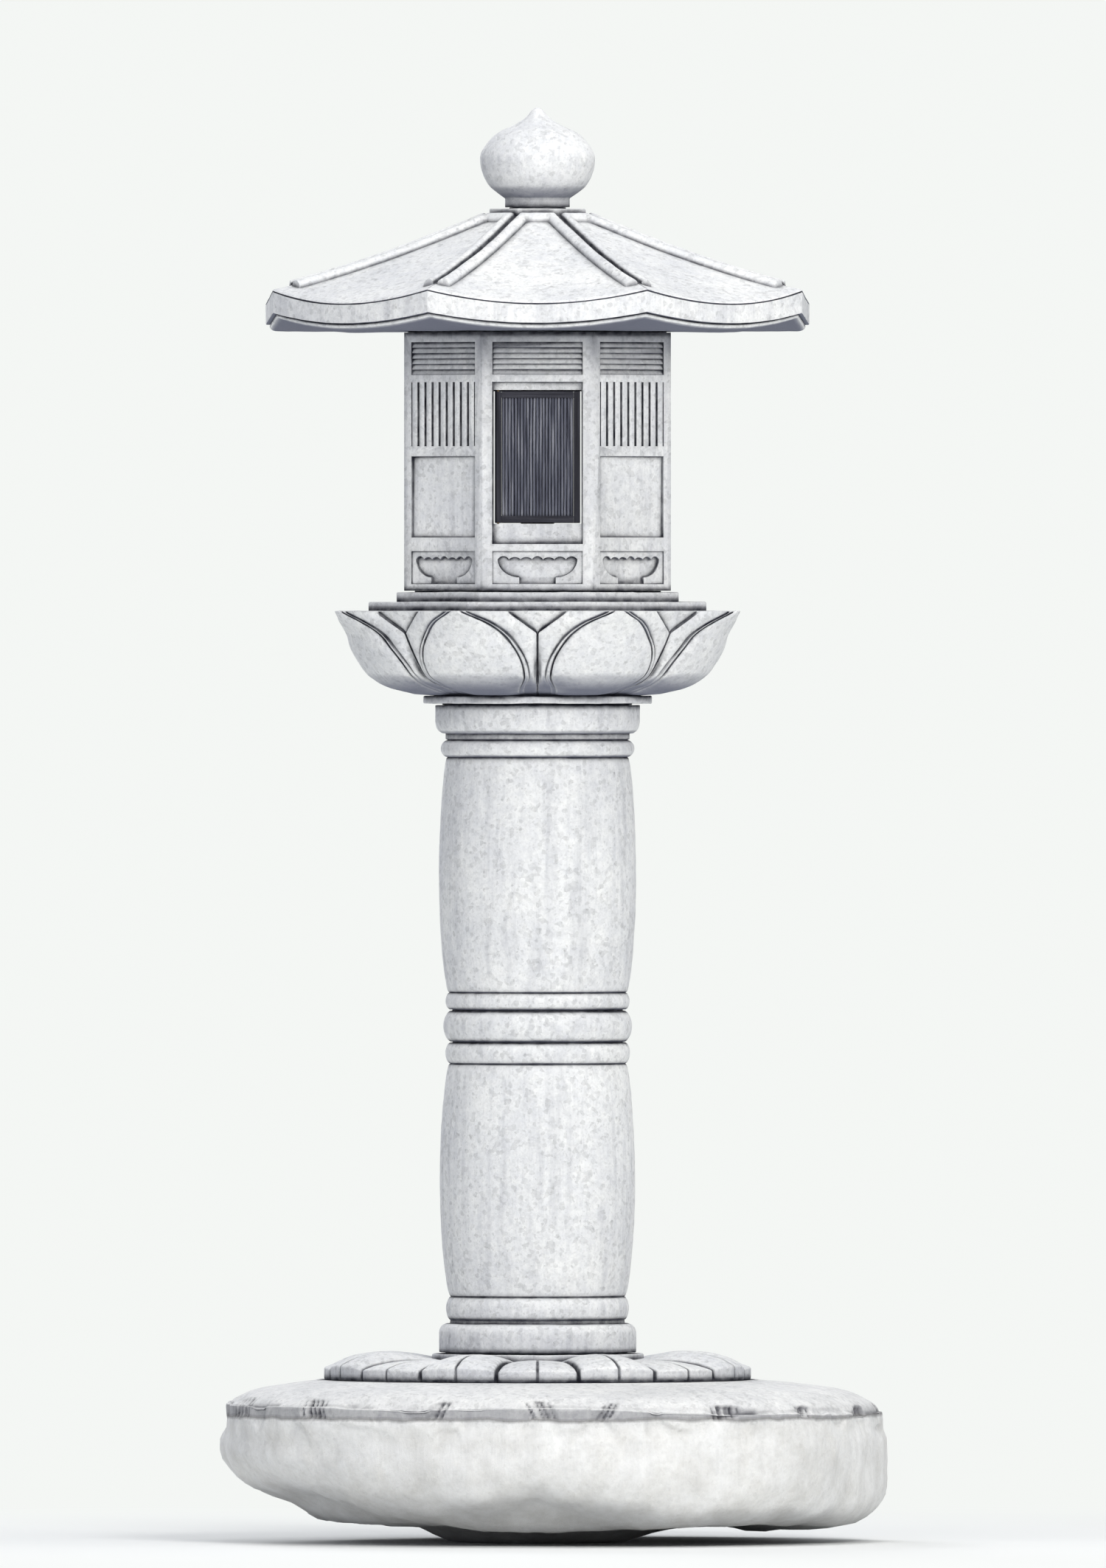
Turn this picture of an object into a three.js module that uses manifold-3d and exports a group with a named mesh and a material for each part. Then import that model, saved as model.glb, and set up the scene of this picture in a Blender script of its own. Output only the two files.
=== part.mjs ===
// Tall stone lantern on a half-buried boulder: lotus base, ringed shaft, lotus platform,
// octagonal fire chamber, roof with bowed, upturned eaves, and onion jewel.
// Millimetres, +Z up. The origin is on the shaft's axis, on the flat bedding face under the
// foundation stone. The front, with the hinged lattice leaf, faces -Y.

import * as THREE from 'three';
import { mergeVertices } from 'three/addons/utils/BufferGeometryUtils.js';
import Module from 'manifold-3d';

const wasm = await Module();
wasm.setup();

// ---------------------------------------------------------------- driving dimensions

const GROUND = 236;            // ground level above the bedding face
const GAP = 0.3;               // clearance between pieces that rest on each other
const LEAD_THICKNESS = 2.4;    // bedding ring in each joint between stones
const JOINT = LEAD_THICKNESS + 2 * GAP;

// heights above ground of each stone's resting face and top
const SEAT_TOP = 65;
const BASE_BOTTOM = SEAT_TOP + GAP;
const BASE_TOP = 113;
const SHAFT_BOTTOM = BASE_TOP + JOINT;
const SHAFT_TOP = 1316;
const PLATFORM_BOTTOM = SHAFT_TOP + JOINT;
const PETAL_TOP = 1489.5;
const LOWER_STEP_TOP = 1507;
const PLATFORM_TOP = 1525;
const CHAMBER_BOTTOM = PLATFORM_TOP + JOINT;
const CHAMBER_HEIGHT = 478;
const CHAMBER_TOP = CHAMBER_BOTTOM + CHAMBER_HEIGHT;
const ROOF_SEAT = CHAMBER_TOP + JOINT;
const CAP_TOP = 2236;
const JEWEL_BOTTOM = CAP_TOP + JOINT;
const JEWEL_TIP = 2424;

// tenons that key the turned stones together
const TENON_RADIUS = 60;
const FOOT_TENON = 30;
const HEAD_TENON = 40;
const JEWEL_TENON_RADIUS = 32;
const JEWEL_TENON = 50;
const TENON_CLEARANCE = 1;
const SOCKET_EXTRA = 2;

// plan sizes
const SEAT_RADIUS = 404;
const BASE_RADIUS = 396;
const BASE_RIM_HEIGHT = 24;
const BASE_PLATE_RADIUS = 196;
const PLATFORM_PLATE_RADIUS = 212;
const PLATFORM_PLATE_HEIGHT = 14;
const LOWER_STEP_APOTHEM = 312.5;
const UPPER_STEP_APOTHEM = 261;
const CHAMBER_APOTHEM = 247;
const CAVITY_APOTHEM = 195;
const CAVITY_FLOOR = 100;      // above the chamber's underside

// fire windows, measured on a chamber face, heights from the chamber's underside
const WINDOW_WIDTH = 168;
const WINDOW_LOW = 86;
const WINDOW_HIGH = 386;
const WINDOW_REBATE = 8;
const OPENING_WIDTH = 163;
const OPENING_LOW = 123.5;
const OPENING_HIGH = 371;

// wooden lattice screens that stand in the openings
const SCREEN_WIDTH = 158;
const SCREEN_LOW = 126;
const SCREEN_HIGH = 368.5;
const SCREEN_SETBACK = 12;     // from the chamber face to the screen's face
const SCREEN_THICKNESS = 14;
const STILE_WIDTH = 12;
const RAIL_HEIGHT = 12;
const LATTICE_THICKNESS = 7;
const LATTICE_BARS = 23;
const BAR_WIDTH = 4.1;
const TONGUE = 6;              // depth of the lattice's end strips inside the rails

// pivots of the front leaf
const PIVOT_OFFSET = 6;        // from the leaf's hinge edge to the pivot axis
const PIN_RADIUS = 2.5;
const PIN_LENGTH = 24;
const PIN_IN_WOOD = 12.5;

// roof
const ROOF_CORNER_RADIUS = 530;
const ROOF_SIDE_RADIUS = 504;  // to the middle of a bowed side
const CAP_APOTHEM = 89;
const CAP_BOTTOM = 2222;
const ROOF_SLOPE = 0.4318;
const ROOF_HOLLOW = 0.0001;    // concavity of the roof faces, per mm
const CORNER_RISE = 20;        // how far a hip's foot turns up above the face beside it
const RISE_POWER = 2.5;        // how late along the hip it turns up
const FASCIA = 39;             // at the middle of a side
const CORNER_FASCIA = 44;
const UNDER_BAND = 12;
const UNDER_BAND_INSET = 7.5;
const ROLL_WIDTH = 22;
const ROLL_HEIGHT = 12;
const ROLL_VALLEY = 4;         // flat strip between a hip and its roll
const ROLL_END_MARGIN = 34;    // from the roll's cut end to the eave, along the face
const SEAT_BOSS_APOTHEM = 290; // flat underside that sits on the chamber

const HALF_FACE = Math.PI / 8;
const EIGHTH = Math.PI / 4;
const FRONT = -Math.PI / 2;

// ---------------------------------------------------------------- materials

const granite = new THREE.MeshStandardMaterial({ color: 0xd8dbe0, roughness: 0.9, metalness: 0 });
const fieldStone = new THREE.MeshStandardMaterial({ color: 0xc9c8c4, roughness: 0.95, metalness: 0 });
const lead = new THREE.MeshStandardMaterial({ color: 0x6d7278, roughness: 0.6, metalness: 0.7 });
const darkWood = new THREE.MeshStandardMaterial({ color: 0x25262e, roughness: 0.8, metalness: 0 });
const bronze = new THREE.MeshStandardMaterial({ color: 0x7a6238, roughness: 0.5, metalness: 0.9 });
const iron = new THREE.MeshStandardMaterial({ color: 0x2e2c2b, roughness: 0.7, metalness: 0.8 });
const glazed = new THREE.MeshStandardMaterial({ color: 0x8c9a86, roughness: 0.25, metalness: 0 });
const cotton = new THREE.MeshStandardMaterial({ color: 0xe6dfc8, roughness: 0.95, metalness: 0 });

// ---------------------------------------------------------------- helpers

const lantern = new THREE.Group();

function add(name, geometry, material, height = 0, parent = lantern) {
  const mesh = new THREE.Mesh(geometry, material);
  mesh.name = name;
  mesh.position.z = height;
  parent.add(mesh);
  return mesh;
}

function toSolid(geometry) {
  const bare = geometry.index ? geometry.toNonIndexed() : geometry.clone();
  bare.deleteAttribute('normal');
  bare.deleteAttribute('uv');
  const merged = mergeVertices(bare, 1e-3);
  return new wasm.Manifold(new wasm.Mesh({
    numProp: 3,
    vertProperties: Float32Array.from(merged.attributes.position.array),
    triVerts: Uint32Array.from(merged.index.array),
  }));
}

function toGeometry(solid) {
  const mesh = solid.getMesh();
  const geometry = new THREE.BufferGeometry();
  geometry.setAttribute('position', new THREE.BufferAttribute(mesh.vertProperties, 3));
  geometry.setIndex(new THREE.BufferAttribute(mesh.triVerts, 1));
  return geometry;
}

// Cuts every tool geometry out of a solid.
function cut(solid, tools) {
  return tools.reduce((left, tool) => left.subtract(toSolid(tool)), solid);
}

// A prism on a closed 2D outline, standing on z = low.
function prism(points, low, high, holes = []) {
  const shape = new THREE.Shape(points.map(([x, y]) => new THREE.Vector2(x, y)));
  for (const hole of holes) {
    shape.holes.push(new THREE.Path(hole.map(([x, y]) => new THREE.Vector2(x, y))));
  }
  const geometry = new THREE.ExtrudeGeometry(shape, { depth: high - low, bevelEnabled: false });
  return geometry.translate(0, 0, low);
}

function rectangle(x0, y0, x1, y1) {
  return [[x0, y0], [x1, y0], [x1, y1], [x0, y1]];
}

// Octagon with a flat face towards the front.
function octagon(apothem) {
  const radius = apothem / Math.cos(HALF_FACE);
  return Array.from({ length: 8 }, (_, i) => {
    const angle = HALF_FACE + i * EIGHTH;
    return [radius * Math.cos(angle), radius * Math.sin(angle)];
  });
}

// A turned solid from [radius, height] points that start and end on the axis, low end first.
function turned(profile, segments) {
  const points = profile.map(([radius, height]) => new THREE.Vector2(radius, height));
  return new THREE.LatheGeometry(points, segments).rotateX(Math.PI / 2);
}

function cylinder(radius, low, high, segments, x = 0, y = 0) {
  return new THREE.CylinderGeometry(radius, radius, high - low, segments)
    .rotateX(Math.PI / 2)
    .translate(x, y, (low + high) / 2);
}

// Profile points of a swelling between two edges: power 0.5 is a half round, 1 a sine.
function swelling(r0, z0, r1, z1, rMax, steps, power = 0.5) {
  return Array.from({ length: steps + 1 }, (_, i) => {
    const t = i / steps;
    const chord = r0 + (r1 - r0) * t;
    return [chord + (rMax - chord) * Math.sin(Math.PI * t) ** power, z0 + (z1 - z0) * t];
  });
}

// Closes a stack of rings, lowest first, each the same count of points going round
// counter-clockwise, with a fan at the bottom and one at the top.
function ringSolid(rings) {
  const count = rings[0].length;
  const mean = (ring) => ring.reduce((sum, p) => sum.add(p), new THREE.Vector3()).divideScalar(count);
  const points = [...rings.flat(), mean(rings[0]), mean(rings[rings.length - 1])];
  const bottom = points.length - 2;
  const top = points.length - 1;
  const index = [];
  for (let j = 0; j < count; j++) {
    const next = (j + 1) % count;
    index.push(bottom, next, j);
    for (let i = 0; i + 1 < rings.length; i++) {
      const low = i * count;
      const high = low + count;
      index.push(low + j, low + next, high + next, low + j, high + next, high + j);
    }
    const last = (rings.length - 1) * count;
    index.push(top, last + j, last + next);
  }
  const geometry = new THREE.BufferGeometry().setFromPoints(points);
  geometry.setIndex(index);
  return geometry;
}

function polar(radius, angle, z) {
  return new THREE.Vector3(radius * Math.cos(angle), radius * Math.sin(angle), z);
}

// Reads a [position, value] list by straight lines between its entries.
function readTable(table, position) {
  const last = table.length - 1;
  if (position <= table[0][0]) return table[0][1];
  if (position >= table[last][0]) return table[last][1];
  const i = table.findIndex(([p]) => p >= position);
  const [p0, v0] = table[i - 1];
  const [p1, v1] = table[i];
  return v0 + (v1 - v0) * (position - p0) / (p1 - p0);
}

// Angle from the nearest large petal's centre line, in degrees: large petals stand at 22.5
// degrees from the axes, every 45 degrees.
function fromPetal(angle) {
  const degrees = THREE.MathUtils.radToDeg(angle);
  return ((degrees % 45) + 45) % 45 - 22.5;
}

const lerp = THREE.MathUtils.lerp;

// ---------------------------------------------------------------- foundation stone

const BOULDER_SIDES = 40;
const BEDDING_RADIUS = 150;

// Plan radius of the boulder where it leaves the ground.
function boulderRadius(angle) {
  return 600 + 33 * Math.cos(angle) + 13 * Math.sin(2 * angle + 0.7) + 11 * Math.cos(3 * angle + 2.2)
    + 6 * Math.sin(5 * angle + 0.4) + 5 * Math.cos(9 * angle);
}

function makeFoundationStone() {
  const angles = Array.from({ length: BOULDER_SIDES }, (_, i) => i * 2 * Math.PI / BOULDER_SIDES);
  const ring = (radiusOf, heightOf) => angles.map((a) => polar(radiusOf(a), a, heightOf(a)));
  const right = (a) => 0.5 + 0.5 * Math.cos(a);      // 1 on the +X side, 0 on the -X side
  const wave = (a) => 5 * Math.sin(4 * a + 1) + 4 * Math.sin(7 * a);
  const front = (a) => 6 * Math.sin(a) ** 2;
  const lipHeight = (a) => GROUND + lerp(24, 8, right(a)) + front(a) + wave(a) / 3;
  return ringSolid([
    ring(() => BEDDING_RADIUS, () => 0),
    ring(() => 270, (a) => 34 + wave(a)),
    ring((a) => lerp(390, 430, right(a)), (a) => lerp(36, 28, right(a)) - wave(a)),
    ring(
      (a) => lerp(0.8, 0.9, right(a)) * boulderRadius(a),
      (a) => lerp(74, 36, right(a)) + wave(a),
    ),
    ring((a) => lerp(0.92, 0.985, right(a)) * boulderRadius(a), (a) => lerp(108, 72, right(a))),
    ring((a) => boulderRadius(a) + wave(a) / 2, (a) => lerp(168, 130, right(a))),
    // lip, shoulder and dome: full on the -X side, sloping down to the ground on the +X side
    ring((a) => boulderRadius(a), (a) => GROUND + lerp(14, 2, right(a)) + wave(a) / 2),
    ring((a) => boulderRadius(a) - 6, lipHeight),
    ring(
      (a) => boulderRadius(a) - lerp(45, 30, right(a)),
      (a) => GROUND + lerp(45, 28, right(a)) + front(a),
    ),
    ring((a) => boulderRadius(a) - 88, (a) => GROUND + lerp(54, 49, right(a))),
    ring(() => SEAT_RADIUS, () => GROUND + SEAT_TOP),
  ]);
}

// ---------------------------------------------------------------- lotus base

const PETAL_SIDES = 64;

// Height above the rim's foot, from the plate out to the rim: along a large petal's crown,
// and along the lower petals between.
const BASE_CROWN = [
  [BASE_PLATE_RADIUS, 38], [240, 44], [296, 48], [340, 45], [375, 37], [BASE_RADIUS, BASE_RIM_HEIGHT],
];
const BASE_LOW = [
  [BASE_PLATE_RADIUS, 36], [240, 36], [296, 34], [340, 31], [375, 28], [BASE_RADIUS, BASE_RIM_HEIGHT],
];

// 1 on the crown of a large petal, 0 in the creases at 11.25 degrees from its centre.
function baseSwelling(angle) {
  const off = Math.abs(fromPetal(angle)) / 11.25;
  return off < 1 ? Math.sqrt(1 - off * off) : 0.3 * Math.sin(Math.PI * (off - 1));
}

function makeLotusBase() {
  const angles = Array.from({ length: PETAL_SIDES }, (_, i) => i * 2 * Math.PI / PETAL_SIDES);
  const petalRing = (radius) => angles.map((a) => {
    const low = readTable(BASE_LOW, radius);
    return polar(radius, a, lerp(low, readTable(BASE_CROWN, radius), baseSwelling(a)));
  });
  const height = BASE_TOP - BASE_BOTTOM;
  const flat = (radius, z) => angles.map((a) => polar(radius, a, z));
  const body = ringSolid([
    flat(BASE_RADIUS, 0),
    ...[BASE_RADIUS, 375, 340, 296, 240, BASE_PLATE_RADIUS].map(petalRing),
    flat(BASE_PLATE_RADIUS, height),
  ]);
  const socketFloor = height - FOOT_TENON - SOCKET_EXTRA;
  const socket = cylinder(TENON_RADIUS + TENON_CLEARANCE, socketFloor, height + 1, 24);
  return toGeometry(cut(toSolid(body), [socket]));
}

// ---------------------------------------------------------------- shaft

const SHAFT_SIDES = 24;
const RING_STEPS = 4;
const DRUM_STEPS = 5;

// Heights in this profile are above ground.
function makeShaft() {
  const profile = [
    [0, SHAFT_BOTTOM - FOOT_TENON],
    [TENON_RADIUS, SHAFT_BOTTOM - FOOT_TENON],
    [TENON_RADIUS, SHAFT_BOTTOM],
    // foot band with a quarter-round top, and a fillet
    [182.5, SHAFT_BOTTOM],
    [182.5, 156],
    [169.5, 169],
    [162, 169.5],
    [162, 175.5],
    ...swelling(161, 176, 161, 219, 169.5, RING_STEPS),
    // lower drum
    ...swelling(163, 220, 165, 650, 181, DRUM_STEPS, 0.6),
    // middle group of three rings
    ...swelling(163, 651, 163, 690, 171, RING_STEPS),
    ...swelling(159, 692, 159, 749, 174.5, RING_STEPS),
    ...swelling(163, 752, 163, 783, 170.5, RING_STEPS),
    // upper drum
    ...swelling(166, 785, 169.5, 1218, 182.5, DRUM_STEPS, 0.6),
    // head: torus, fillet and wide band
    ...swelling(168, 1219.5, 168, 1252, 180, RING_STEPS),
    [171, 1252.5],
    [171, 1263.5],
    [178, 1263.5],
    [190, 1282],
    [190, SHAFT_TOP],
    [TENON_RADIUS, SHAFT_TOP],
    [TENON_RADIUS, SHAFT_TOP + HEAD_TENON],
    [0, SHAFT_TOP + HEAD_TENON],
  ];
  return turned(profile, SHAFT_SIDES);
}

// ---------------------------------------------------------------- lotus platform

// Depth below the petals' top against radius: down a large petal's crown, and down the crease
// between two petals; and the raised lobe's half width in degrees.
const CROWN_RADIUS = [[0, 403], [42, 368], [68, 357], [94, 341], [123, 317], [143, 279], [153, 236]];
const CREASE_RADIUS = [[0, 360], [42, 342], [68, 329], [94, 312], [123, 287], [143, 257], [153, 226]];
const LOBE_WIDTH = [[0, 3], [14, 6.5], [42, 12.5], [68, 15.5], [94, 17.3], [123, 17.5], [153, 14.5]];
const PETAL_DEPTHS = [153, 143, 123, 94, 68, 42, 14, 0];

function platformRadius(angle, depth) {
  const crease = readTable(CREASE_RADIUS, depth);
  const off = Math.abs(fromPetal(angle)) / readTable(LOBE_WIDTH, depth);
  const lobe = Math.sqrt(Math.max(0, 1 - off * off));
  // the flange outside the lobe falls only a little towards the crease
  const flange = 0.35 * (1 - Math.abs(fromPetal(angle)) / 22.5);
  return lerp(crease, readTable(CROWN_RADIUS, depth), Math.max(lobe, flange));
}

function makeLotusPlatform() {
  const angles = Array.from({ length: PETAL_SIDES }, (_, i) => i * 2 * Math.PI / PETAL_SIDES);
  const flat = (radius, z) => angles.map((a) => polar(radius, a, z));
  const rings = PETAL_DEPTHS.map((depth) => angles.map((a) => {
    return polar(platformRadius(a, depth), a, PETAL_TOP - depth);
  }));
  const petals = ringSolid([
    flat(PLATFORM_PLATE_RADIUS, PLATFORM_BOTTOM),
    flat(PLATFORM_PLATE_RADIUS, PLATFORM_BOTTOM + PLATFORM_PLATE_HEIGHT),
    ...rings,
  ]);
  const lowerStep = prism(octagon(LOWER_STEP_APOTHEM), PETAL_TOP - 5, LOWER_STEP_TOP);
  const upperStep = prism(octagon(UPPER_STEP_APOTHEM), LOWER_STEP_TOP - 5, PLATFORM_TOP);
  const socket = cylinder(TENON_RADIUS + TENON_CLEARANCE, PLATFORM_BOTTOM - 1,
    PLATFORM_BOTTOM + HEAD_TENON + SOCKET_EXTRA, 24);
  const body = toSolid(petals).add(toSolid(lowerStep)).add(toSolid(upperStep));
  return toGeometry(cut(body, [socket]));
}

// ---------------------------------------------------------------- fire chamber

const CARVING = 5;             // depth of the carved panels
const PANEL_WIDTH = 167;
const KOZAMA_LOW = 12;
const KOZAMA_HIGH = 73;
const KOZAMA_SINKING = 1.5;
const LOUVER_LOW = 399;
const LOUVER_HIGH = 460;
const LOUVER_SLATS = 6;
const BLIND_LATTICE = [267, 386];
const BLIND_BARS = 9;
const BLIND_SLOT_WIDTH = 6;
const PLAIN_PANEL = [98, 249];

// Placement of a chamber face: x to the right seen from outside, y up, z outward, with the
// origin on the face's middle line at the chamber's underside.
function faceFrame(normalAngle) {
  const outward = new THREE.Vector3(Math.cos(normalAngle), Math.sin(normalAngle), 0);
  const up = new THREE.Vector3(0, 0, 1);
  const across = new THREE.Vector3().crossVectors(up, outward);
  const frame = new THREE.Matrix4().makeBasis(across, up, outward);
  return frame.setPosition(outward.clone().multiplyScalar(CHAMBER_APOTHEM));
}

// Cutters for the kozama panel: a shallow rectangular sinking, and inside it a deeper one shaped
// like a bowl with a scalloped top edge and a straight neck.
function kozamaCutters() {
  const half = PANEL_WIDTH / 2;
  const neck = { half: 34, top: KOZAMA_LOW + 12 };
  const bowl = { half: 74, top: KOZAMA_LOW + 46 };
  const rightSide = [[neck.half, KOZAMA_LOW], [neck.half, neck.top]];
  for (let i = 1; i <= 4; i++) {
    const t = i / 4 * Math.PI / 2;
    rightSide.push([
      lerp(neck.half, bowl.half, Math.sin(t)),
      lerp(bowl.top, neck.top, Math.cos(t)),
    ]);
  }
  const scallops = 7;
  const scallopRise = 5;
  const topEdge = [];
  for (let i = 0; i < scallops; i++) {
    const left = lerp(bowl.half, -bowl.half, i / scallops);
    const width = 2 * bowl.half / scallops;
    if (i > 0) topEdge.push([left, bowl.top]);
    topEdge.push([left - 0.25 * width, bowl.top + scallopRise]);
    topEdge.push([left - 0.75 * width, bowl.top + scallopRise]);
  }
  const leftSide = rightSide.map(([x, y]) => [-x, y]).reverse();
  return [
    prism(rectangle(-half, KOZAMA_LOW, half, KOZAMA_HIGH), -KOZAMA_SINKING, 1),
    prism([...rightSide, ...topEdge, ...leftSide], -KOZAMA_SINKING - CARVING, 1),
  ];
}

// Cutter for a panel of weathering slats, each sloping out towards its lower edge.
function louverCutter() {
  const shallow = 1.5;
  const deep = 6.5;
  const pitch = (LOUVER_HIGH - LOUVER_LOW) / LOUVER_SLATS;
  const outline = [[1, LOUVER_LOW]];
  for (let i = 0; i < LOUVER_SLATS; i++) {
    outline.push([-shallow, LOUVER_LOW + i * pitch], [-deep, LOUVER_LOW + (i + 1) * pitch]);
  }
  outline.push([1, LOUVER_HIGH]);
  // the outline's x is the carving's depth: turn it to run outward, with the prism across the face
  return prism(outline.reverse(), -PANEL_WIDTH / 2, PANEL_WIDTH / 2).rotateY(-Math.PI / 2);
}

// Narrow slots that leave a row of upright bars between them, with half a slot at each end.
function blindLatticeCutters() {
  const [low, high] = BLIND_LATTICE;
  const half = PANEL_WIDTH / 2;
  const pitch = PANEL_WIDTH / BLIND_BARS;
  return Array.from({ length: BLIND_BARS + 1 }, (_, i) => {
    const left = Math.max(-half, -half + i * pitch - BLIND_SLOT_WIDTH / 2);
    const right = Math.min(half, -half + i * pitch + BLIND_SLOT_WIDTH / 2);
    return prism(rectangle(left, low, right, high), -CARVING, 1);
  });
}

function windowCutters() {
  const wall = CHAMBER_APOTHEM - CAVITY_APOTHEM;
  return [
    prism(rectangle(-WINDOW_WIDTH / 2, WINDOW_LOW, WINDOW_WIDTH / 2, WINDOW_HIGH), -WINDOW_REBATE, 1),
    prism(rectangle(-OPENING_WIDTH / 2, OPENING_LOW, OPENING_WIDTH / 2, OPENING_HIGH), -wall - 10, 1),
  ];
}

function makeFireChamber() {
  const tools = [prism(octagon(CAVITY_APOTHEM), CAVITY_FLOOR, CHAMBER_HEIGHT + 1)];
  for (let i = 0; i < 8; i++) {
    const frame = faceFrame(FRONT + i * EIGHTH);
    const half = PANEL_WIDTH / 2;
    const carvings = [...kozamaCutters(), louverCutter()];
    if (i % 2 === 0) {
      carvings.push(...windowCutters());
    } else {
      carvings.push(...blindLatticeCutters());
      carvings.push(prism(rectangle(-half, PLAIN_PANEL[0], half, PLAIN_PANEL[1]), -CARVING, 1));
    }
    tools.push(...carvings.map((tool) => tool.applyMatrix4(frame)));
  }
  // pivot sockets of the front leaf, in the sill and in the lintel
  const pivot = pivotPoint();
  const socketRadius = PIN_RADIUS + 0.8;
  const socketDepth = PIN_LENGTH - PIN_IN_WOOD + 1;
  const sockets = [
    [SCREEN_LOW - socketDepth, OPENING_LOW + 1],
    [OPENING_HIGH - 1, SCREEN_HIGH + socketDepth],
  ];
  tools.push(...sockets.map(([low, high]) => cylinder(socketRadius, low, high, 12, pivot.x, pivot.y)));
  return toGeometry(cut(toSolid(prism(octagon(CHAMBER_APOTHEM), 0, CHAMBER_HEIGHT)), tools));
}

// ---------------------------------------------------------------- lattice screens

// A screen's own frame is that of its chamber face.
const SCREEN_BACK = -SCREEN_SETBACK - SCREEN_THICKNESS;
const SCREEN_MIDDLE = -SCREEN_SETBACK - SCREEN_THICKNESS / 2;

function pivotPoint() {
  return { x: -SCREEN_WIDTH / 2 + PIVOT_OFFSET, y: -CHAMBER_APOTHEM - SCREEN_MIDDLE };
}

function stile(left) {
  const outline = rectangle(left, SCREEN_LOW, left + STILE_WIDTH, SCREEN_HIGH);
  return prism(outline, SCREEN_BACK, -SCREEN_SETBACK);
}

// The hinge stile has its outer front edge planed off so that it turns inside the opening, and
// a hole at each end for its pivot pin.
function hingeStile() {
  const planed = 4;
  const left = -SCREEN_WIDTH / 2;
  const outline = [
    [left, SCREEN_BACK], [left + STILE_WIDTH, SCREEN_BACK], [left + STILE_WIDTH, -SCREEN_SETBACK],
    [left + planed, -SCREEN_SETBACK], [left, -SCREEN_SETBACK - planed],
  ];
  // drawn in plan, then stood up along the face
  const plan = outline.map(([x, y]) => [x, -y]).reverse();
  const bar = prism(plan, SCREEN_LOW, SCREEN_HIGH).rotateX(-Math.PI / 2);
  const holeRadius = PIN_RADIUS + GAP;
  const hole = (low, high) => cylinder(holeRadius, low, high, 12, left + PIVOT_OFFSET, -SCREEN_MIDDLE)
    .rotateX(-Math.PI / 2);
  const depth = PIN_IN_WOOD + GAP;
  return toGeometry(cut(toSolid(bar), [
    hole(SCREEN_LOW - 1, SCREEN_LOW + depth),
    hole(SCREEN_HIGH - depth, SCREEN_HIGH + 1),
  ]));
}

// A rail with a groove for the lattice's end strip, open towards the lattice.
function rail(low, grooveLow, grooveHigh) {
  const half = SCREEN_WIDTH / 2 - STILE_WIDTH - GAP;
  const bar = prism(rectangle(-half, low, half, low + RAIL_HEIGHT), SCREEN_BACK, -SCREEN_SETBACK);
  const grooveHalf = LATTICE_THICKNESS / 2 + GAP;
  const groove = prism(rectangle(-half - 1, grooveLow, half + 1, grooveHigh),
    SCREEN_MIDDLE - grooveHalf, SCREEN_MIDDLE + grooveHalf);
  return toGeometry(cut(toSolid(bar), [groove]));
}

// Upright bars joined by a strip at each end. A staggered lattice has its slots where a plain one
// has its bars, so that nobody can look straight through the lantern.
function lattice(staggered) {
  const half = SCREEN_WIDTH / 2 - STILE_WIDTH - GAP;
  const low = SCREEN_LOW + RAIL_HEIGHT - TONGUE;
  const high = SCREEN_HIGH - RAIL_HEIGHT + TONGUE;
  const back = SCREEN_MIDDLE - LATTICE_THICKNESS / 2;
  const front = back + LATTICE_THICKNESS;
  const slotWidth = (2 * half - LATTICE_BARS * BAR_WIDTH) / (LATTICE_BARS + 1);
  const slots = staggered ? LATTICE_BARS : LATTICE_BARS + 1;
  const strip = TONGUE - 1;
  const cutters = Array.from({ length: slots }, (_, i) => {
    const middle = (i - (slots - 1) / 2) * (slotWidth + BAR_WIDTH);
    const left = middle - slotWidth / 2;
    const right = middle + slotWidth / 2;
    // a slot at the plate's side runs out through it
    const x0 = left < -half + 0.1 ? left - 1 : left;
    const x1 = right > half - 0.1 ? right + 1 : right;
    return prism(rectangle(x0, low + strip, x1, high - strip), back - 1, front + 1);
  });
  return toGeometry(cut(toSolid(prism(rectangle(-half, low, half, high), back, front)), cutters));
}

function addScreen(prefix, normalAngle, { hinged = false, staggered = false } = {}) {
  const frame = faceFrame(normalAngle);
  const headLow = SCREEN_HIGH - RAIL_HEIGHT;
  const bottomHigh = SCREEN_LOW + RAIL_HEIGHT;
  const grooveDepth = TONGUE + GAP;
  const place = (name, geometry, material = darkWood) => {
    add(`${prefix}_${name}`, geometry.applyMatrix4(frame), material, GROUND + CHAMBER_BOTTOM);
  };
  place(hinged ? 'hinge_stile' : 'left_stile', hinged ? hingeStile() : stile(-SCREEN_WIDTH / 2));
  place(hinged ? 'latch_stile' : 'right_stile', stile(SCREEN_WIDTH / 2 - STILE_WIDTH));
  place('head_rail', rail(headLow, headLow - 1, headLow + grooveDepth));
  place('bottom_rail', rail(SCREEN_LOW, bottomHigh - grooveDepth, bottomHigh + 1));
  place('lattice', lattice(staggered));
}

function addPivots() {
  const { x, y } = pivotPoint();
  const pin = (low) => cylinder(PIN_RADIUS, low, low + PIN_LENGTH, 12, x, y);
  const lowerPin = pin(SCREEN_LOW + PIN_IN_WOOD - PIN_LENGTH);
  const upperPin = pin(SCREEN_HIGH - PIN_IN_WOOD);
  add('front_leaf_lower_pivot', lowerPin, bronze, GROUND + CHAMBER_BOTTOM);
  add('front_leaf_upper_pivot', upperPin, bronze, GROUND + CHAMBER_BOTTOM);
}

// ---------------------------------------------------------------- roof

const CORNER_OUT = ROOF_CORNER_RADIUS * Math.cos(HALF_FACE);
const CORNER_ASIDE = ROOF_CORNER_RADIUS * Math.sin(HALF_FACE);

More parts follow.
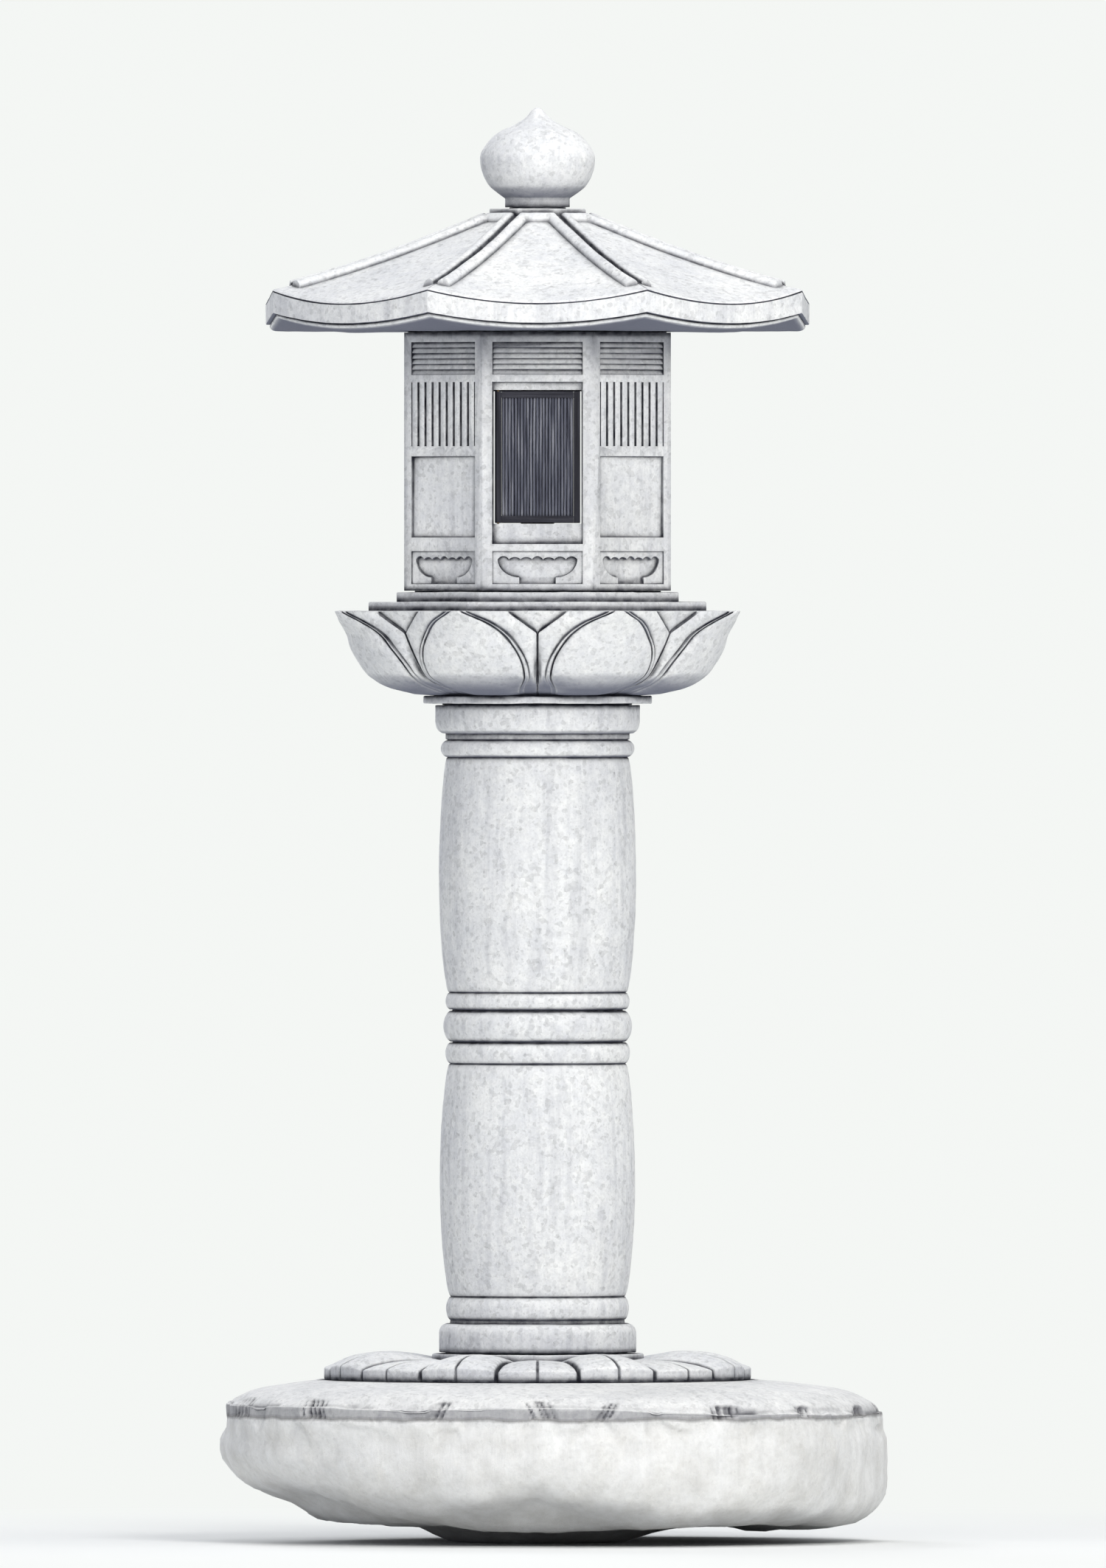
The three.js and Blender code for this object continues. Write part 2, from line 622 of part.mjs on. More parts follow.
// 0 on the middle line of a roof face, 1 on its hips.
function towardsHip(out, aside) {
  return Math.abs(aside) / (out * Math.tan(HALF_FACE));
}

// Height of a roof face above ground: out from the axis square to the eave, and aside from the
// face's middle line. The face is slightly hollow, and turns up towards the foot of its hips.
function roofHeight(out, aside) {
  const run = out - CAP_APOTHEM;
  const downHip = run / (CORNER_OUT - CAP_APOTHEM);
  const rise = CORNER_RISE * towardsHip(out, aside) ** 2 * downHip ** RISE_POWER;
  return CAP_BOTTOM - ROOF_SLOPE * run + ROOF_HOLLOW * run * run + rise;
}

// A side bows out between its corners: an arc through both corners and the side's middle.
function eaveDistance(aside) {
  const rise = ROOF_SIDE_RADIUS - CORNER_OUT;
  const bow = (CORNER_ASIDE ** 2 + rise ** 2) / (2 * rise);
  return ROOF_SIDE_RADIUS - bow + Math.sqrt(bow ** 2 - aside ** 2);
}

// Half-round moulding across its width.
function rollHeight(across) {
  const t = 2 * across / ROLL_WIDTH - 1;
  return Math.abs(t) < 1 ? ROLL_HEIGHT * Math.sqrt(1 - t * t) : 0;
}

// Where each column of a roof face runs: at a fixed distance from the hip across the valley
// and the roll, then at a share of the width between the roll and the face's middle.
const ROLL_STOPS = [0, 0.2, 0.8, 1];
const HIP_OFFSETS = [0, ...ROLL_STOPS.map((part) => ROLL_VALLEY + part * ROLL_WIDTH)];
const INNER_SHARES = [0.5, 0];

function asideAt(out, hipOffset, share) {
  const half = out * Math.tan(HALF_FACE) - hipOffset / Math.cos(HALF_FACE);
  return share * Math.max(0, half);
}

// Points of a column, { out, aside, height }, from the seat's middle round the eave to the cap.
function roofColumn(side, hipOffset, share = 1) {
  let eaveOut = ROOF_SIDE_RADIUS;
  for (let i = 0; i < 8; i++) eaveOut = eaveDistance(asideAt(eaveOut, hipOffset, share));
  const eaveAside = asideAt(eaveOut, hipOffset, share);
  const eaveTop = roofHeight(eaveOut, eaveAside);
  const fascia = lerp(FASCIA, CORNER_FASCIA, towardsHip(eaveOut, eaveAside) ** 2);
  const bandFoot = eaveTop - fascia - UNDER_BAND;
  const bandOut = eaveOut - UNDER_BAND_INSET;
  const rollEnd = eaveOut - ROLL_END_MARGIN;
  const rollFoot = CAP_APOTHEM + ROLL_VALLEY;
  const point = (out, height) => ({ out, aside: side * asideAt(out, hipOffset, share), height });
  const faceHeight = (out) => roofHeight(out, asideAt(out, hipOffset, share));
  const onFace = (out) => {
    const fromHip = share === 1 ? hipOffset - ROLL_VALLEY : ROLL_WIDTH;
    return point(out, faceHeight(out) + rollHeight(Math.min(fromHip, out - rollFoot)));
  };
  return [
    point(SEAT_BOSS_APOTHEM, ROOF_SEAT),
    point(bandOut - 2 * UNDER_BAND_INSET, bandFoot),
    point(bandOut, bandFoot + 4),
    point(bandOut, eaveTop - fascia),
    point(eaveOut, eaveTop - fascia),
    point(eaveOut, eaveTop),
    point(rollEnd + 0.5, faceHeight(rollEnd + 0.5)),
    onFace(rollEnd),
    onFace(lerp(rollFoot + ROLL_WIDTH, rollEnd, 2 / 3)),
    onFace(lerp(rollFoot + ROLL_WIDTH, rollEnd, 1 / 3)),
    ...[...ROLL_STOPS].reverse().map((part) => onFace(rollFoot + part * ROLL_WIDTH)),
    point(CAP_APOTHEM, CAP_BOTTOM),
    point(CAP_APOTHEM, CAP_TOP),
  ];
}

function makeRoof() {
  const innermost = HIP_OFFSETS[HIP_OFFSETS.length - 1];
  const faceColumns = [
    ...HIP_OFFSETS.map((offset) => roofColumn(-1, offset)),
    ...INNER_SHARES.map((share) => roofColumn(-1, innermost, share)),
    ...INNER_SHARES.slice(0, -1).reverse().map((share) => roofColumn(1, innermost, share)),
    ...HIP_OFFSETS.slice(1).reverse().map((offset) => roofColumn(1, offset)),
  ];
  const rings = faceColumns[0].map(() => []);
  for (let face = 0; face < 8; face++) {
    const normal = FRONT + face * EIGHTH;
    for (const column of faceColumns) {
      column.forEach(({ out, aside, height }, i) => {
        const x = out * Math.cos(normal) - aside * Math.sin(normal);
        const y = out * Math.sin(normal) + aside * Math.cos(normal);
        rings[i].push(new THREE.Vector3(x, y, height));
      });
    }
  }
  const sootHollow = turned([
    [0, ROOF_SEAT - 1], [150, ROOF_SEAT - 1], [120, ROOF_SEAT + 40], [0, ROOF_SEAT + 60],
  ], 16);
  const socketFloor = CAP_TOP - JEWEL_TENON - SOCKET_EXTRA;
  const socket = cylinder(JEWEL_TENON_RADIUS + TENON_CLEARANCE, socketFloor, CAP_TOP + 1, 20);
  return toGeometry(cut(toSolid(ringSolid(rings)), [sootHollow, socket]));
}

// ---------------------------------------------------------------- jewel

function makeJewel() {
  const neckRadius = 60;
  const neckTop = 2255;
  const onion = new THREE.SplineCurve([
    [62, neckTop], [88, 2276], [103, 2304], [106.6, 2329], [97, 2352], [70, 2378],
    [40, 2394.5], [19, 2407], [10, 2418], [0, JEWEL_TIP],
  ].map(([radius, height]) => new THREE.Vector2(radius, height)));
  const outline = onion.getPoints(14).map((p) => [p.x, p.y]);
  outline[outline.length - 1] = [0, JEWEL_TIP];
  return turned([
    [0, JEWEL_BOTTOM - JEWEL_TENON],
    [JEWEL_TENON_RADIUS, JEWEL_BOTTOM - JEWEL_TENON],
    [JEWEL_TENON_RADIUS, JEWEL_BOTTOM],
    [neckRadius, JEWEL_BOTTOM],
    [neckRadius, neckTop - 1],
    ...outline,
  ], 24);
}

// ---------------------------------------------------------------- lead bedding and lamp

function leadRing(innerRadius, outerRadius) {
  const ring = new THREE.Shape().absarc(0, 0, outerRadius, 0, 2 * Math.PI);
  ring.holes.push(new THREE.Path().absarc(0, 0, innerRadius, 0, 2 * Math.PI));
  const settings = { depth: LEAD_THICKNESS, bevelEnabled: false, curveSegments: 10 };
  return new THREE.ExtrudeGeometry(ring, settings);
}

const STAND_HEIGHT = 22;
const DISH_RIM = 16;

function lampStand() {
  return turned([
    [0, 0], [50, 0], [50, 4], [44, 7], [38, 13], [42, 18], [42, STAND_HEIGHT], [0, STAND_HEIGHT],
  ], 12);
}

function oilDish() {
  return turned([[0, 0], [28, 0], [50, DISH_RIM], [46, DISH_RIM], [25, 4], [0, 4]], 16);
}

// A cord that lies in the dish and leans over its rim.
function wick() {
  const path = new THREE.CatmullRomCurve3([
    new THREE.Vector3(0, 14, 8),
    new THREE.Vector3(0, -18, 8),
    new THREE.Vector3(0, -38, 18),
    new THREE.Vector3(0, -52, 25),
  ]);
  const strand = new THREE.Shape(Array.from({ length: 6 }, (_, i) => {
    return new THREE.Vector2(2.2 * Math.cos(i * Math.PI / 3), 2.2 * Math.sin(i * Math.PI / 3));
  }));
  return new THREE.ExtrudeGeometry(strand, { steps: 6, extrudePath: path });
}

// ---------------------------------------------------------------- assembly

add('foundation_stone', makeFoundationStone(), fieldStone);
add('lotus_base', makeLotusBase(), granite, GROUND + BASE_BOTTOM);
add('shaft_foot_bedding', leadRing(75, 168), lead, GROUND + BASE_TOP + GAP);
add('shaft', makeShaft(), granite, GROUND);
add('shaft_head_bedding', leadRing(75, 176), lead, GROUND + SHAFT_TOP + GAP);
add('lotus_platform', makeLotusPlatform(), granite, GROUND);
add('chamber_bedding', leadRing(130, 228), lead, GROUND + PLATFORM_TOP + GAP);
add('fire_chamber', makeFireChamber(), granite, GROUND + CHAMBER_BOTTOM);
add('roof_bedding', leadRing(214, 240), lead, GROUND + CHAMBER_TOP + GAP);
add('roof', makeRoof(), granite, GROUND);
add('jewel_bedding', leadRing(36, 52), lead, GROUND + CAP_TOP + GAP);
add('jewel', makeJewel(), granite, GROUND);

addScreen('front_leaf', FRONT, { hinged: true });
addPivots();
addScreen('right_screen', FRONT + 2 * EIGHTH);
addScreen('back_screen', FRONT + 4 * EIGHTH, { staggered: true });
addScreen('left_screen', FRONT + 6 * EIGHTH, { staggered: true });

const lampFloor = GROUND + CHAMBER_BOTTOM + CAVITY_FLOOR;
add('lamp_stand', lampStand(), iron, lampFloor + GAP);
add('oil_dish', oilDish(), glazed, lampFloor + STAND_HEIGHT + 2 * GAP);
add('wick', wick(), cotton, lampFloor + STAND_HEIGHT + 2 * GAP);

export default lantern;
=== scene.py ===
"""Looks of the stone lantern: carved and weathered stone meshes, dark lattice wood, lead, bronze
and the lamp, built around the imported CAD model. Metres, +Z up, front towards -Y."""
from math import ceil, cos, degrees, dist, exp, pi, radians, sin, sqrt, tan

import bmesh
import bpy
import numpy as np
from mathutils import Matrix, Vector


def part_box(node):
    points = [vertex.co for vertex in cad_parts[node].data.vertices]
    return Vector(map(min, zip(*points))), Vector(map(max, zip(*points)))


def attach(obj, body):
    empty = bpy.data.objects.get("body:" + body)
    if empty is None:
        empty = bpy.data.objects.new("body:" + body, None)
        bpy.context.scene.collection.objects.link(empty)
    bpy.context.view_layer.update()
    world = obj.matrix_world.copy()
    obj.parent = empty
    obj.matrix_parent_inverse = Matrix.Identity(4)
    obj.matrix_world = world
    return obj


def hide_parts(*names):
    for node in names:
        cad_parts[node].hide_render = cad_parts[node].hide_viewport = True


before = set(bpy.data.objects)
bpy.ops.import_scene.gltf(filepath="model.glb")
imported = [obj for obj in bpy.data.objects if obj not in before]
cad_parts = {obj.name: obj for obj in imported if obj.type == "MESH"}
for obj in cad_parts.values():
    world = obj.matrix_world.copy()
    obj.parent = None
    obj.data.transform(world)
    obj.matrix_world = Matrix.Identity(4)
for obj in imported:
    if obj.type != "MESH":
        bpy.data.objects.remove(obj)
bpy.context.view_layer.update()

MM = 0.001
HALF_FACE = pi / 8
EIGHTH = pi / 4
FRONT = -pi / 2

# ---- places from the frame


def low(node):
    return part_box(node)[0]


def high(node):
    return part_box(node)[1]


SEAT_HEIGHT = 65               # millimetres above the ground line
BEDDING_GAP = 0.3              # millimetres between a stone and its lead ring
GROUND = high("foundation_stone").z - SEAT_HEIGHT * MM


def foot_of(node):
    """Height of a node's lowest point above the ground line, in millimetres."""
    return (low(node).z - GROUND) / MM


def top_of(node):
    """Height of a node's highest point above the ground line, in millimetres."""
    return (high(node).z - GROUND) / MM


# ---- small maths

HASH_PRIMES = (73856093, 19349663, 83492791)


def ease(start, end, x):
    """0 before start, 1 after end, smooth between."""
    t = np.clip((x - start) / (end - start), 0.0, 1.0)
    return t * t * (3 - 2 * t)


def through(points, x):
    """Smooth curve without overshoot through (position, value) points, read at x."""
    xs, ys = np.array(points, float).T
    slopes = np.diff(ys) / np.diff(xs)
    before = np.insert(slopes, 0, slopes[0])
    after = np.append(slopes, slopes[-1])
    steepest = 3 * np.minimum(np.abs(before), np.abs(after))
    tangents = np.clip((before + after) / 2, -steepest, steepest)
    tangents[before * after <= 0] = 0
    x = np.clip(x, xs[0], xs[-1])
    i = np.clip(np.searchsorted(xs, x) - 1, 0, len(xs) - 2)
    width = xs[i + 1] - xs[i]
    t = (x - xs[i]) / width
    return ((1 + 2 * t) * (1 - t) ** 2 * ys[i] + t * (1 - t) ** 2 * width * tangents[i]
            + t * t * (3 - 2 * t) * ys[i + 1] + t * t * (t - 1) * width * tangents[i + 1])


def smooth_path(keys, stations):
    """Points of a smooth line through the keys, at stations from 0 to 1."""
    keys = np.array(keys, float)
    key_stations = np.linspace(0, 1, len(keys))
    return np.stack([through(np.stack([key_stations, column], 1), stations) for column in keys.T], 1)


def noise(points, cell, seed):
    """Smooth value noise in -1..1 at each point, with bumps about one cell wide."""
    grid = np.asarray(points, float) / cell + 1000
    corner = np.floor(grid).astype(np.int64)
    f = grid - corner
    f = f * f * (3 - 2 * f)
    total = np.zeros(len(grid))
    for step in np.ndindex(2, 2, 2):
        # an integer hash of the cell's corner stands for a random number
        h = (corner + step) * HASH_PRIMES
        h = h[:, 0] ^ h[:, 1] ^ h[:, 2] ^ (seed * 2654435761)
        h = (h ^ (h >> 13)) * 1274126177 & 0x7FFFFFFF
        h = (h ^ (h >> 16)) & 0xFFFF
        total += np.where(step, f, 1 - f).prod(1) * (h / 32767.5 - 1)
    return total


def layered_noise(points, cell, seed, octaves=4):
    """Noise with finer, weaker copies of itself added."""
    return sum(noise(points, cell / 2 ** k, seed + k) / 2 ** k for k in range(octaves))


def round_corners(outline, steps=4):
    """(radius, height, rounding) corners to a list of (radius, height) with rounded corners."""
    result = []
    for i, (r, z, rounding) in enumerate(outline):
        if rounding == 0 or i in (0, len(outline) - 1):
            result.append((r, z))
            continue
        here = np.array((r, z), float)
        before = np.array(outline[i - 1][:2], float) - here
        after = np.array(outline[i + 1][:2], float) - here
        start = here + before * min(0.45, rounding / np.linalg.norm(before))
        end = here + after * min(0.45, rounding / np.linalg.norm(after))
        for t in np.linspace(0, 1, steps + 1):
            result.append(tuple((1 - t) ** 2 * start + 2 * t * (1 - t) * here + t * t * end))
    return result


def refine(outline, longest):
    """Adds points so that no step of the outline is longer than this."""
    result = [outline[0]]
    for a, b in zip(outline, outline[1:]):
        count = max(1, ceil(dist(a, b) / longest))
        result += [tuple(np.add(a, np.subtract(b, a) * k / count)) for k in range(1, count + 1)]
    return result


def crowded(steps):
    """0 to 1 in steps that crowd towards both ends, as wanted along a half round."""
    return [0.5 - 0.5 * cos(pi * k / steps) for k in range(steps + 1)]


def swelling(r0, z0, r1, z1, r_max, steps=20, power=0.5):
    """Outline of a moulding that swells between two edges: power 0.5 is a half round."""
    points = []
    for t in crowded(steps):
        chord = r0 + (r1 - r0) * t
        bulge = (r_max - chord) * max(0, sin(pi * t)) ** power
        points.append((chord + bulge, z0 + (z1 - z0) * t))
    return points


def turns(count):
    """Equal steps once round, in radians."""
    return np.arange(count) * 2 * pi / count


def level_ring(angles, radii, z):
    """Points at these angles round the axis; radii and z are numbers or arrays."""
    return np.stack([radii * np.cos(angles), radii * np.sin(angles), z + 0 * angles], 1)


def face_axes(face):
    """Level unit vectors out of one of the eight faces and along it; face 0 is the front."""
    normal = FRONT + face * EIGHTH
    return np.array((cos(normal), sin(normal))), np.array((-sin(normal), cos(normal)))


def octagon_ring(apothem, z, per_side, rounding=4 * MM):
    """Points round an octagon with a face to the front and slightly rounded corners."""
    points = []
    half = (apothem - rounding) * tan(HALF_FACE)
    corner_radius = (apothem - rounding) / cos(HALF_FACE) + rounding
    for face in range(8):
        out, across = face_axes(face)
        towards_corner = face_axes(face - 0.5)[0]
        points.append((*towards_corner * corner_radius, z))
        for aside in np.linspace(-half, half, per_side):
            points.append((*(out * apothem + across * aside), z))
    return points


# ---- mesh making

BEVEL_ANGLE = radians(40)


def new_object(name, vertices, faces):
    mesh = bpy.data.meshes.new(name)
    mesh.from_pydata([tuple(v) for v in vertices], [], faces)
    mesh.update()
    return link_object(name, mesh)


def link_object(name, data):
    obj = bpy.data.objects.new(name, data)
    bpy.context.scene.collection.objects.link(obj)
    return obj


def quads_between(rows, count):
    """Quads from each row of points to the next; a row is a closed loop of count points."""
    faces = []
    for this, following in zip(rows, rows[1:]):
        for j in range(count):
            n = (j + 1) % count
            faces.append((this * count + j, this * count + n, following * count + n, following * count + j))
    return faces


def ring_object(name, rings):
    """Closed mesh on rings of points, lowest first, each going round counter-clockwise."""
    rings = np.asarray(rings, float)
    rows, count, _ = rings.shape
    vertices = np.concatenate([rings.reshape(-1, 3), [rings[0].mean(0)], [rings[-1].mean(0)]])
    bottom = rows * count
    last_row = bottom - count
    faces = quads_between(range(rows), count)
    for j in range(count):
        n = (j + 1) % count
        faces.append((bottom, n, j))
        faces.append((bottom + 1, last_row + j, last_row + n))
    return new_object(name, vertices, faces)


def turned_object(name, outline, sides):
    """Turned mesh from (radius, height) points in millimetres above ground."""
    rings = np.array([level_ring(turns(sides), r, z) for r, z in outline]) * MM
    return ring_object(name, rings + (0, 0, GROUND))


def bake_modifiers(obj):
    graph = bpy.context.evaluated_depsgraph_get()
    mesh = bpy.data.meshes.new_from_object(obj.evaluated_get(graph))
    obj.modifiers.clear()
    obj.data = mesh
    mesh.name = obj.name


def combine(obj, tool, operation="DIFFERENCE"):
    """Cuts tool out of obj, or joins it to obj with UNION, and deletes tool."""
    modifier = obj.modifiers.new(operation, "BOOLEAN")
    modifier.operation = operation
    modifier.solver = "MANIFOLD"
    modifier.object = tool
    bake_modifiers(obj)
    bpy.data.objects.remove(tool)


def solid_between(name, near, far):
    """Closed prism between two like outlines; either may be the outer one."""
    count = len(near)
    faces = [tuple(range(count)), tuple(reversed(range(count, 2 * count)))]
    faces += [(i, i + count, (i + 1) % count + count, (i + 1) % count) for i in range(count)]
    obj = new_object(name, [*near, *far], faces)
    work = bmesh.new()
    work.from_mesh(obj.data)
    bmesh.ops.recalc_face_normals(work, faces=work.faces)
    work.to_mesh(obj.data)
    work.free()
    return obj


def soften_edges(obj, width):
    """Narrow rounded arrises."""
    bevel = obj.modifiers.new("soft_edges", "BEVEL")
    bevel.width = width
    bevel.segments = 2
    bevel.limit_method = "ANGLE"
    bevel.angle_limit = BEVEL_ANGLE
    return bevel


def vertex_places(obj):
    places = np.empty(len(obj.data.vertices) * 3)
    obj.data.vertices.foreach_get("co", places)
    return places.reshape(-1, 3)


def move_vertices(obj, places):
    obj.data.vertices.foreach_set("co", places.ravel())
    obj.data.update()


def displace(obj, amounts):
    """Moves each vertex along its normal."""
    normals = np.empty(len(obj.data.vertices) * 3)
    obj.data.vertices.foreach_get("normal", normals)
    move_vertices(obj, vertex_places(obj) + normals.reshape(-1, 3) * amounts[:, None])


def push_inward(obj, amounts):
    """Moves each vertex level towards the lantern's axis."""
    places = vertex_places(obj)
    out = np.hypot(places[:, 0], places[:, 1])
    places[:, :2] *= (1 - amounts / np.maximum(out, MM))[:, None]
    move_vertices(obj, places)


def finish_piece(obj, node, body, material, sharp_degrees=38):
    """Shading, material and the frame's bookkeeping of a piece that stands for a CAD node."""
    obj.data.shade_smooth()
    obj.data.set_sharp_from_angle(angle=radians(sharp_degrees))
    obj.data.materials.clear()
    obj.data.materials.append(material)
    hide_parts(node)
    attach(obj, body)


# ---- material helpers


class Nodes:
    """Short calls for building the node tree of a material or of the world."""

    def __init__(self, owner):
        owner.use_nodes = True
        self.owner = owner
        self.tree = owner.node_tree
        coordinates = self.new("ShaderNodeTexCoord")
        self.place = coordinates.outputs["Object"]
        self.direction = coordinates.outputs["Generated"]

    def new(self, kind, inputs=None, **settings):
        node = self.tree.nodes.new(kind)
        for key, value in settings.items():
            setattr(node, key, value)
        for key, value in (inputs or {}).items():
            self.feed(value, node.inputs[key])
        return node

    def feed(self, value, socket):
        if isinstance(value, bpy.types.NodeSocket):
            self.tree.links.new(value, socket)
        elif socket.type == "RGBA":
            socket.default_value = (*value, 1)
        else:
            socket.default_value = value

    def stretched(self, scale):
        return self.new("ShaderNodeMapping", {"Vector": self.place, "Scale": scale}).outputs["Vector"]

    def noise(self, scale, detail=3.0, roughness=0.55, place=None):
        inputs = {"Vector": place or self.place, "Scale": scale, "Detail": detail, "Roughness": roughness}
        return self.new("ShaderNodeTexNoise", inputs).outputs["Fac"]

    def cells(self, scale, output="Color", feature="F1"):
        inputs = {"Vector": self.place, "Scale": scale}
        return self.new("ShaderNodeTexVoronoi", inputs, feature=feature).outputs[output]

    def ramp(self, factor, stops):
        """Colour or grey steps: stops are (position, grey or rgb)."""
        node = self.new("ShaderNodeValToRGB", {"Fac": factor})
        elements = node.color_ramp.elements
        while len(elements) < len(stops):
            elements.new(0.5)
        for element, (position, colour) in zip(elements, stops):
            element.position = position
            rgb = (colour,) * 3 if isinstance(colour, (int, float)) else colour
            element.color = (*rgb, 1)
        return node.outputs["Color"]

    def math(self, operation, a, b=0.0, clamp=False):
        return self.new("ShaderNodeMath", {0: a, 1: b}, operation=operation, use_clamp=clamp).outputs[0]

    def times(self, a, b, clamp=False):
        return self.math("MULTIPLY", a, b, clamp)

    def plus(self, a, b):
        return self.math("ADD", a, b)

    def minus(self, a, b, clamp=False):
        return self.math("SUBTRACT", a, b, clamp)

    def mix(self, factor, a, b, blend="MIX"):
        inputs = {"Factor": factor, "A": a, "B": b}
        return self.new("ShaderNodeMix", inputs, data_type="RGBA", blend_type=blend).outputs["Result"]

    def upwards(self, vector):
        return self.new("ShaderNodeSeparateXYZ", {0: vector}).outputs["Z"]

    def facing_up(self):
        return self.upwards(self.new("ShaderNodeNewGeometry").outputs["Normal"])

    def crevice(self, distance):
        """1 in the open, falling towards 0 deep in a corner or groove."""
        return self.new("ShaderNodeAmbientOcclusion", {"Distance": distance}, samples=8).outputs["AO"]

    def bump(self, height, strength, distance, below=None):
        inputs = {"Strength": strength, "Distance": distance, "Height": height}
        if below is not None:
            inputs["Normal"] = below
        return self.new("ShaderNodeBump", inputs).outputs["Normal"]

    def camera_ray(self):
        return self.new("ShaderNodeLightPath").outputs["Is Camera Ray"]

    def choose(self, factor, a, b):
        """Shader a where the factor is 0, shader b where it is 1."""
        return self.new("ShaderNodeMixShader", {"Fac": factor, 1: a, 2: b}).outputs[0]

    def finish(self, colour, roughness, normal=None, metallic=0.0, specular=0.5):
        inputs = {"Base Color": colour, "Roughness": roughness, "Metallic": metallic,
                  "Specular IOR Level": specular}
        if normal is not None:
            inputs["Normal"] = normal
        for key, value in inputs.items():
            self.feed(value, self.tree.nodes["Principled BSDF"].inputs[key])
        return self.owner


def material_nodes(name):
    return Nodes(bpy.data.materials.new(name))


# ---- materials

# near-black painted shade for grooves and for the gaps between bars
CREVICE_SHADE = (0.014, 0.015, 0.024)
BACKDROP = (0.905, 0.925, 0.905)


def granite_material(name, pale, mid, grime_and_shade, speckle, soil_line=None):
    """Granite: feldspar, quartz and mica grains, cloudy weathering, rain streaks, and painted shade in the
    hollows, in the grooves and on faces that look down.
    """
    n = material_nodes(name)
    # mineral grains about 8, 4 and 2 mm across
    feldspar = n.ramp(n.cells(120), [(0, 0.30), (0.22, 0.48), (0.34, 0.90), (1, 1)])
    mica = n.ramp(n.cells(240), [(0, 0.04), (0.09, 0.08), (0.12, 0.60), (0.40, 0.70), (0.46, 0.95), (1, 1)])
    fine = n.ramp(n.cells(480), [(0, 0.25), (0.12, 0.30), (0.16, 0.8), (1, 1)])
    grains = n.mix(0.28, n.mix(0.42, feldspar, mica), fine)
    # broad clouds of tone, mottled at the size of a fingertip
    clouds = n.plus(n.times(n.noise(6.5, 6, 0.6), 0.6), n.times(n.noise(55, 4, 0.6), 0.4))
    body = n.mix(n.ramp(clouds, [(0.38, 0), (0.60, 1)]), mid, pale)
    colour = n.mix(speckle, body, grains, "MULTIPLY")
    # rain streaks down the upright faces
    streaks = n.noise(1.0, 5, 0.65, n.stretched((42, 42, 3)))
    upright = n.minus(1, n.times(n.math("ABSOLUTE", n.facing_up()), 1.6), clamp=True)
    colour = n.mix(n.times(n.ramp(streaks, [(0.46, 0), (0.72, 0.32)]), upright), colour, grime_and_shade)
    # painted shade from occlusion and facing: a cool veil in broad hollows, near-black darkening in the
    # grooves, darker faces that look down
    veil = n.ramp(n.crevice(0.10), [(0.20, 0.66), (0.84, 0)])
    colour = n.mix(veil, colour, grime_and_shade)
    # painted shade: near-black in grooves found by a short occlusion test, broken into blotches
    groove = n.ramp(n.crevice(0.015), [(0.70, 1), (0.95, 0)])
    blotch = n.ramp(n.noise(38, 4, 0.6), [(0.30, 0.7), (0.62, 1)])
    colour = n.mix(n.times(groove, blotch), colour, CREVICE_SHADE)
    # painted shade: faces that look down are mixed towards the dark colour
    under = n.times(n.minus(-0.65, n.facing_up()), 3, clamp=True)
    colour = n.mix(under, colour, grime_and_shade)
    if soil_line is not None:
        colour = soil_mark(n, colour, pale, soil_line)
    roughness = n.plus(0.72, n.times(n.noise(140, 3), 0.22))
    pits = n.ramp(n.cells(150, "Distance"), [(0, 0), (0.22, 1)])
    tooling = n.noise(1.0, 3, 0.5, n.stretched((260, 260, 70)))
    normal = n.bump(n.noise(520, 4, 0.7), 0.55, 0.9 * MM)
    normal = n.bump(tooling, 0.45, 1.4 * MM, normal)
    normal = n.bump(pits, 0.25, 1.2 * MM, normal)
    return n.finish(colour, roughness, normal, specular=0.35)


def soil_mark(n, colour, clean, soil_line):
    """Cleaner stone below the old ground level, and a thin dark stain where the soil ended."""
    wander = n.times(n.minus(n.noise(16, 5), 0.5), 0.016)
    above = n.plus(n.minus(n.upwards(n.place), soil_line), wander)
    buried = n.times(above, -70, clamp=True)
    earth = n.mix(n.ramp(n.noise(14, 6, 0.7), [(0.38, 0), (0.66, 1)]), clean, (0.62, 0.61, 0.58))
    colour = n.mix(n.times(buried, 0.6), colour, earth)
    # the broken band above the ground turns darker grey, most on its upright faces
    below_lip = n.times(n.minus(0.034, above), 60, clamp=True)
    in_band = n.times(below_lip, n.times(above, 300, clamp=True))
    upright = n.minus(1.2, n.times(n.facing_up(), 1.5), clamp=True)
    colour = n.mix(n.times(n.times(in_band, upright), 0.55), colour, (0.16, 0.16, 0.18))
    stain = n.minus(1, n.times(n.math("ABSOLUTE", above), 170), clamp=True)
    return n.mix(n.times(stain, 0.7), colour, (0.10, 0.095, 0.095))


def wood_material(name, grain_axis, dark, middle, bright):
    """Weathered wood gone nearly black, with its grain along one axis (0, 1 or 2)."""
    n = material_nodes(name)
    scale = [190, 190, 190]
    scale[grain_axis] = 7
    fibre = n.noise(1.0, 6, 0.65, n.stretched(scale))
    colour = n.ramp(fibre, [(0.34, dark), (0.50, middle), (0.68, bright)])
    worn = n.ramp(n.noise(70, 4), [(0.45, 0), (0.75, 0.25)])
    colour = n.mix(worn, colour, middle)
    # painted shade: darker between the bars, from a short occlusion test
    gap = n.ramp(n.crevice(0.008), [(0.35, 0.9), (0.85, 0)])
    colour = n.mix(gap, colour, CREVICE_SHADE)
    roughness = n.plus(0.6, n.times(fibre, 0.3))
    return n.finish(colour, roughness, n.bump(fibre, 0.5, 0.8 * MM), specular=0.3)


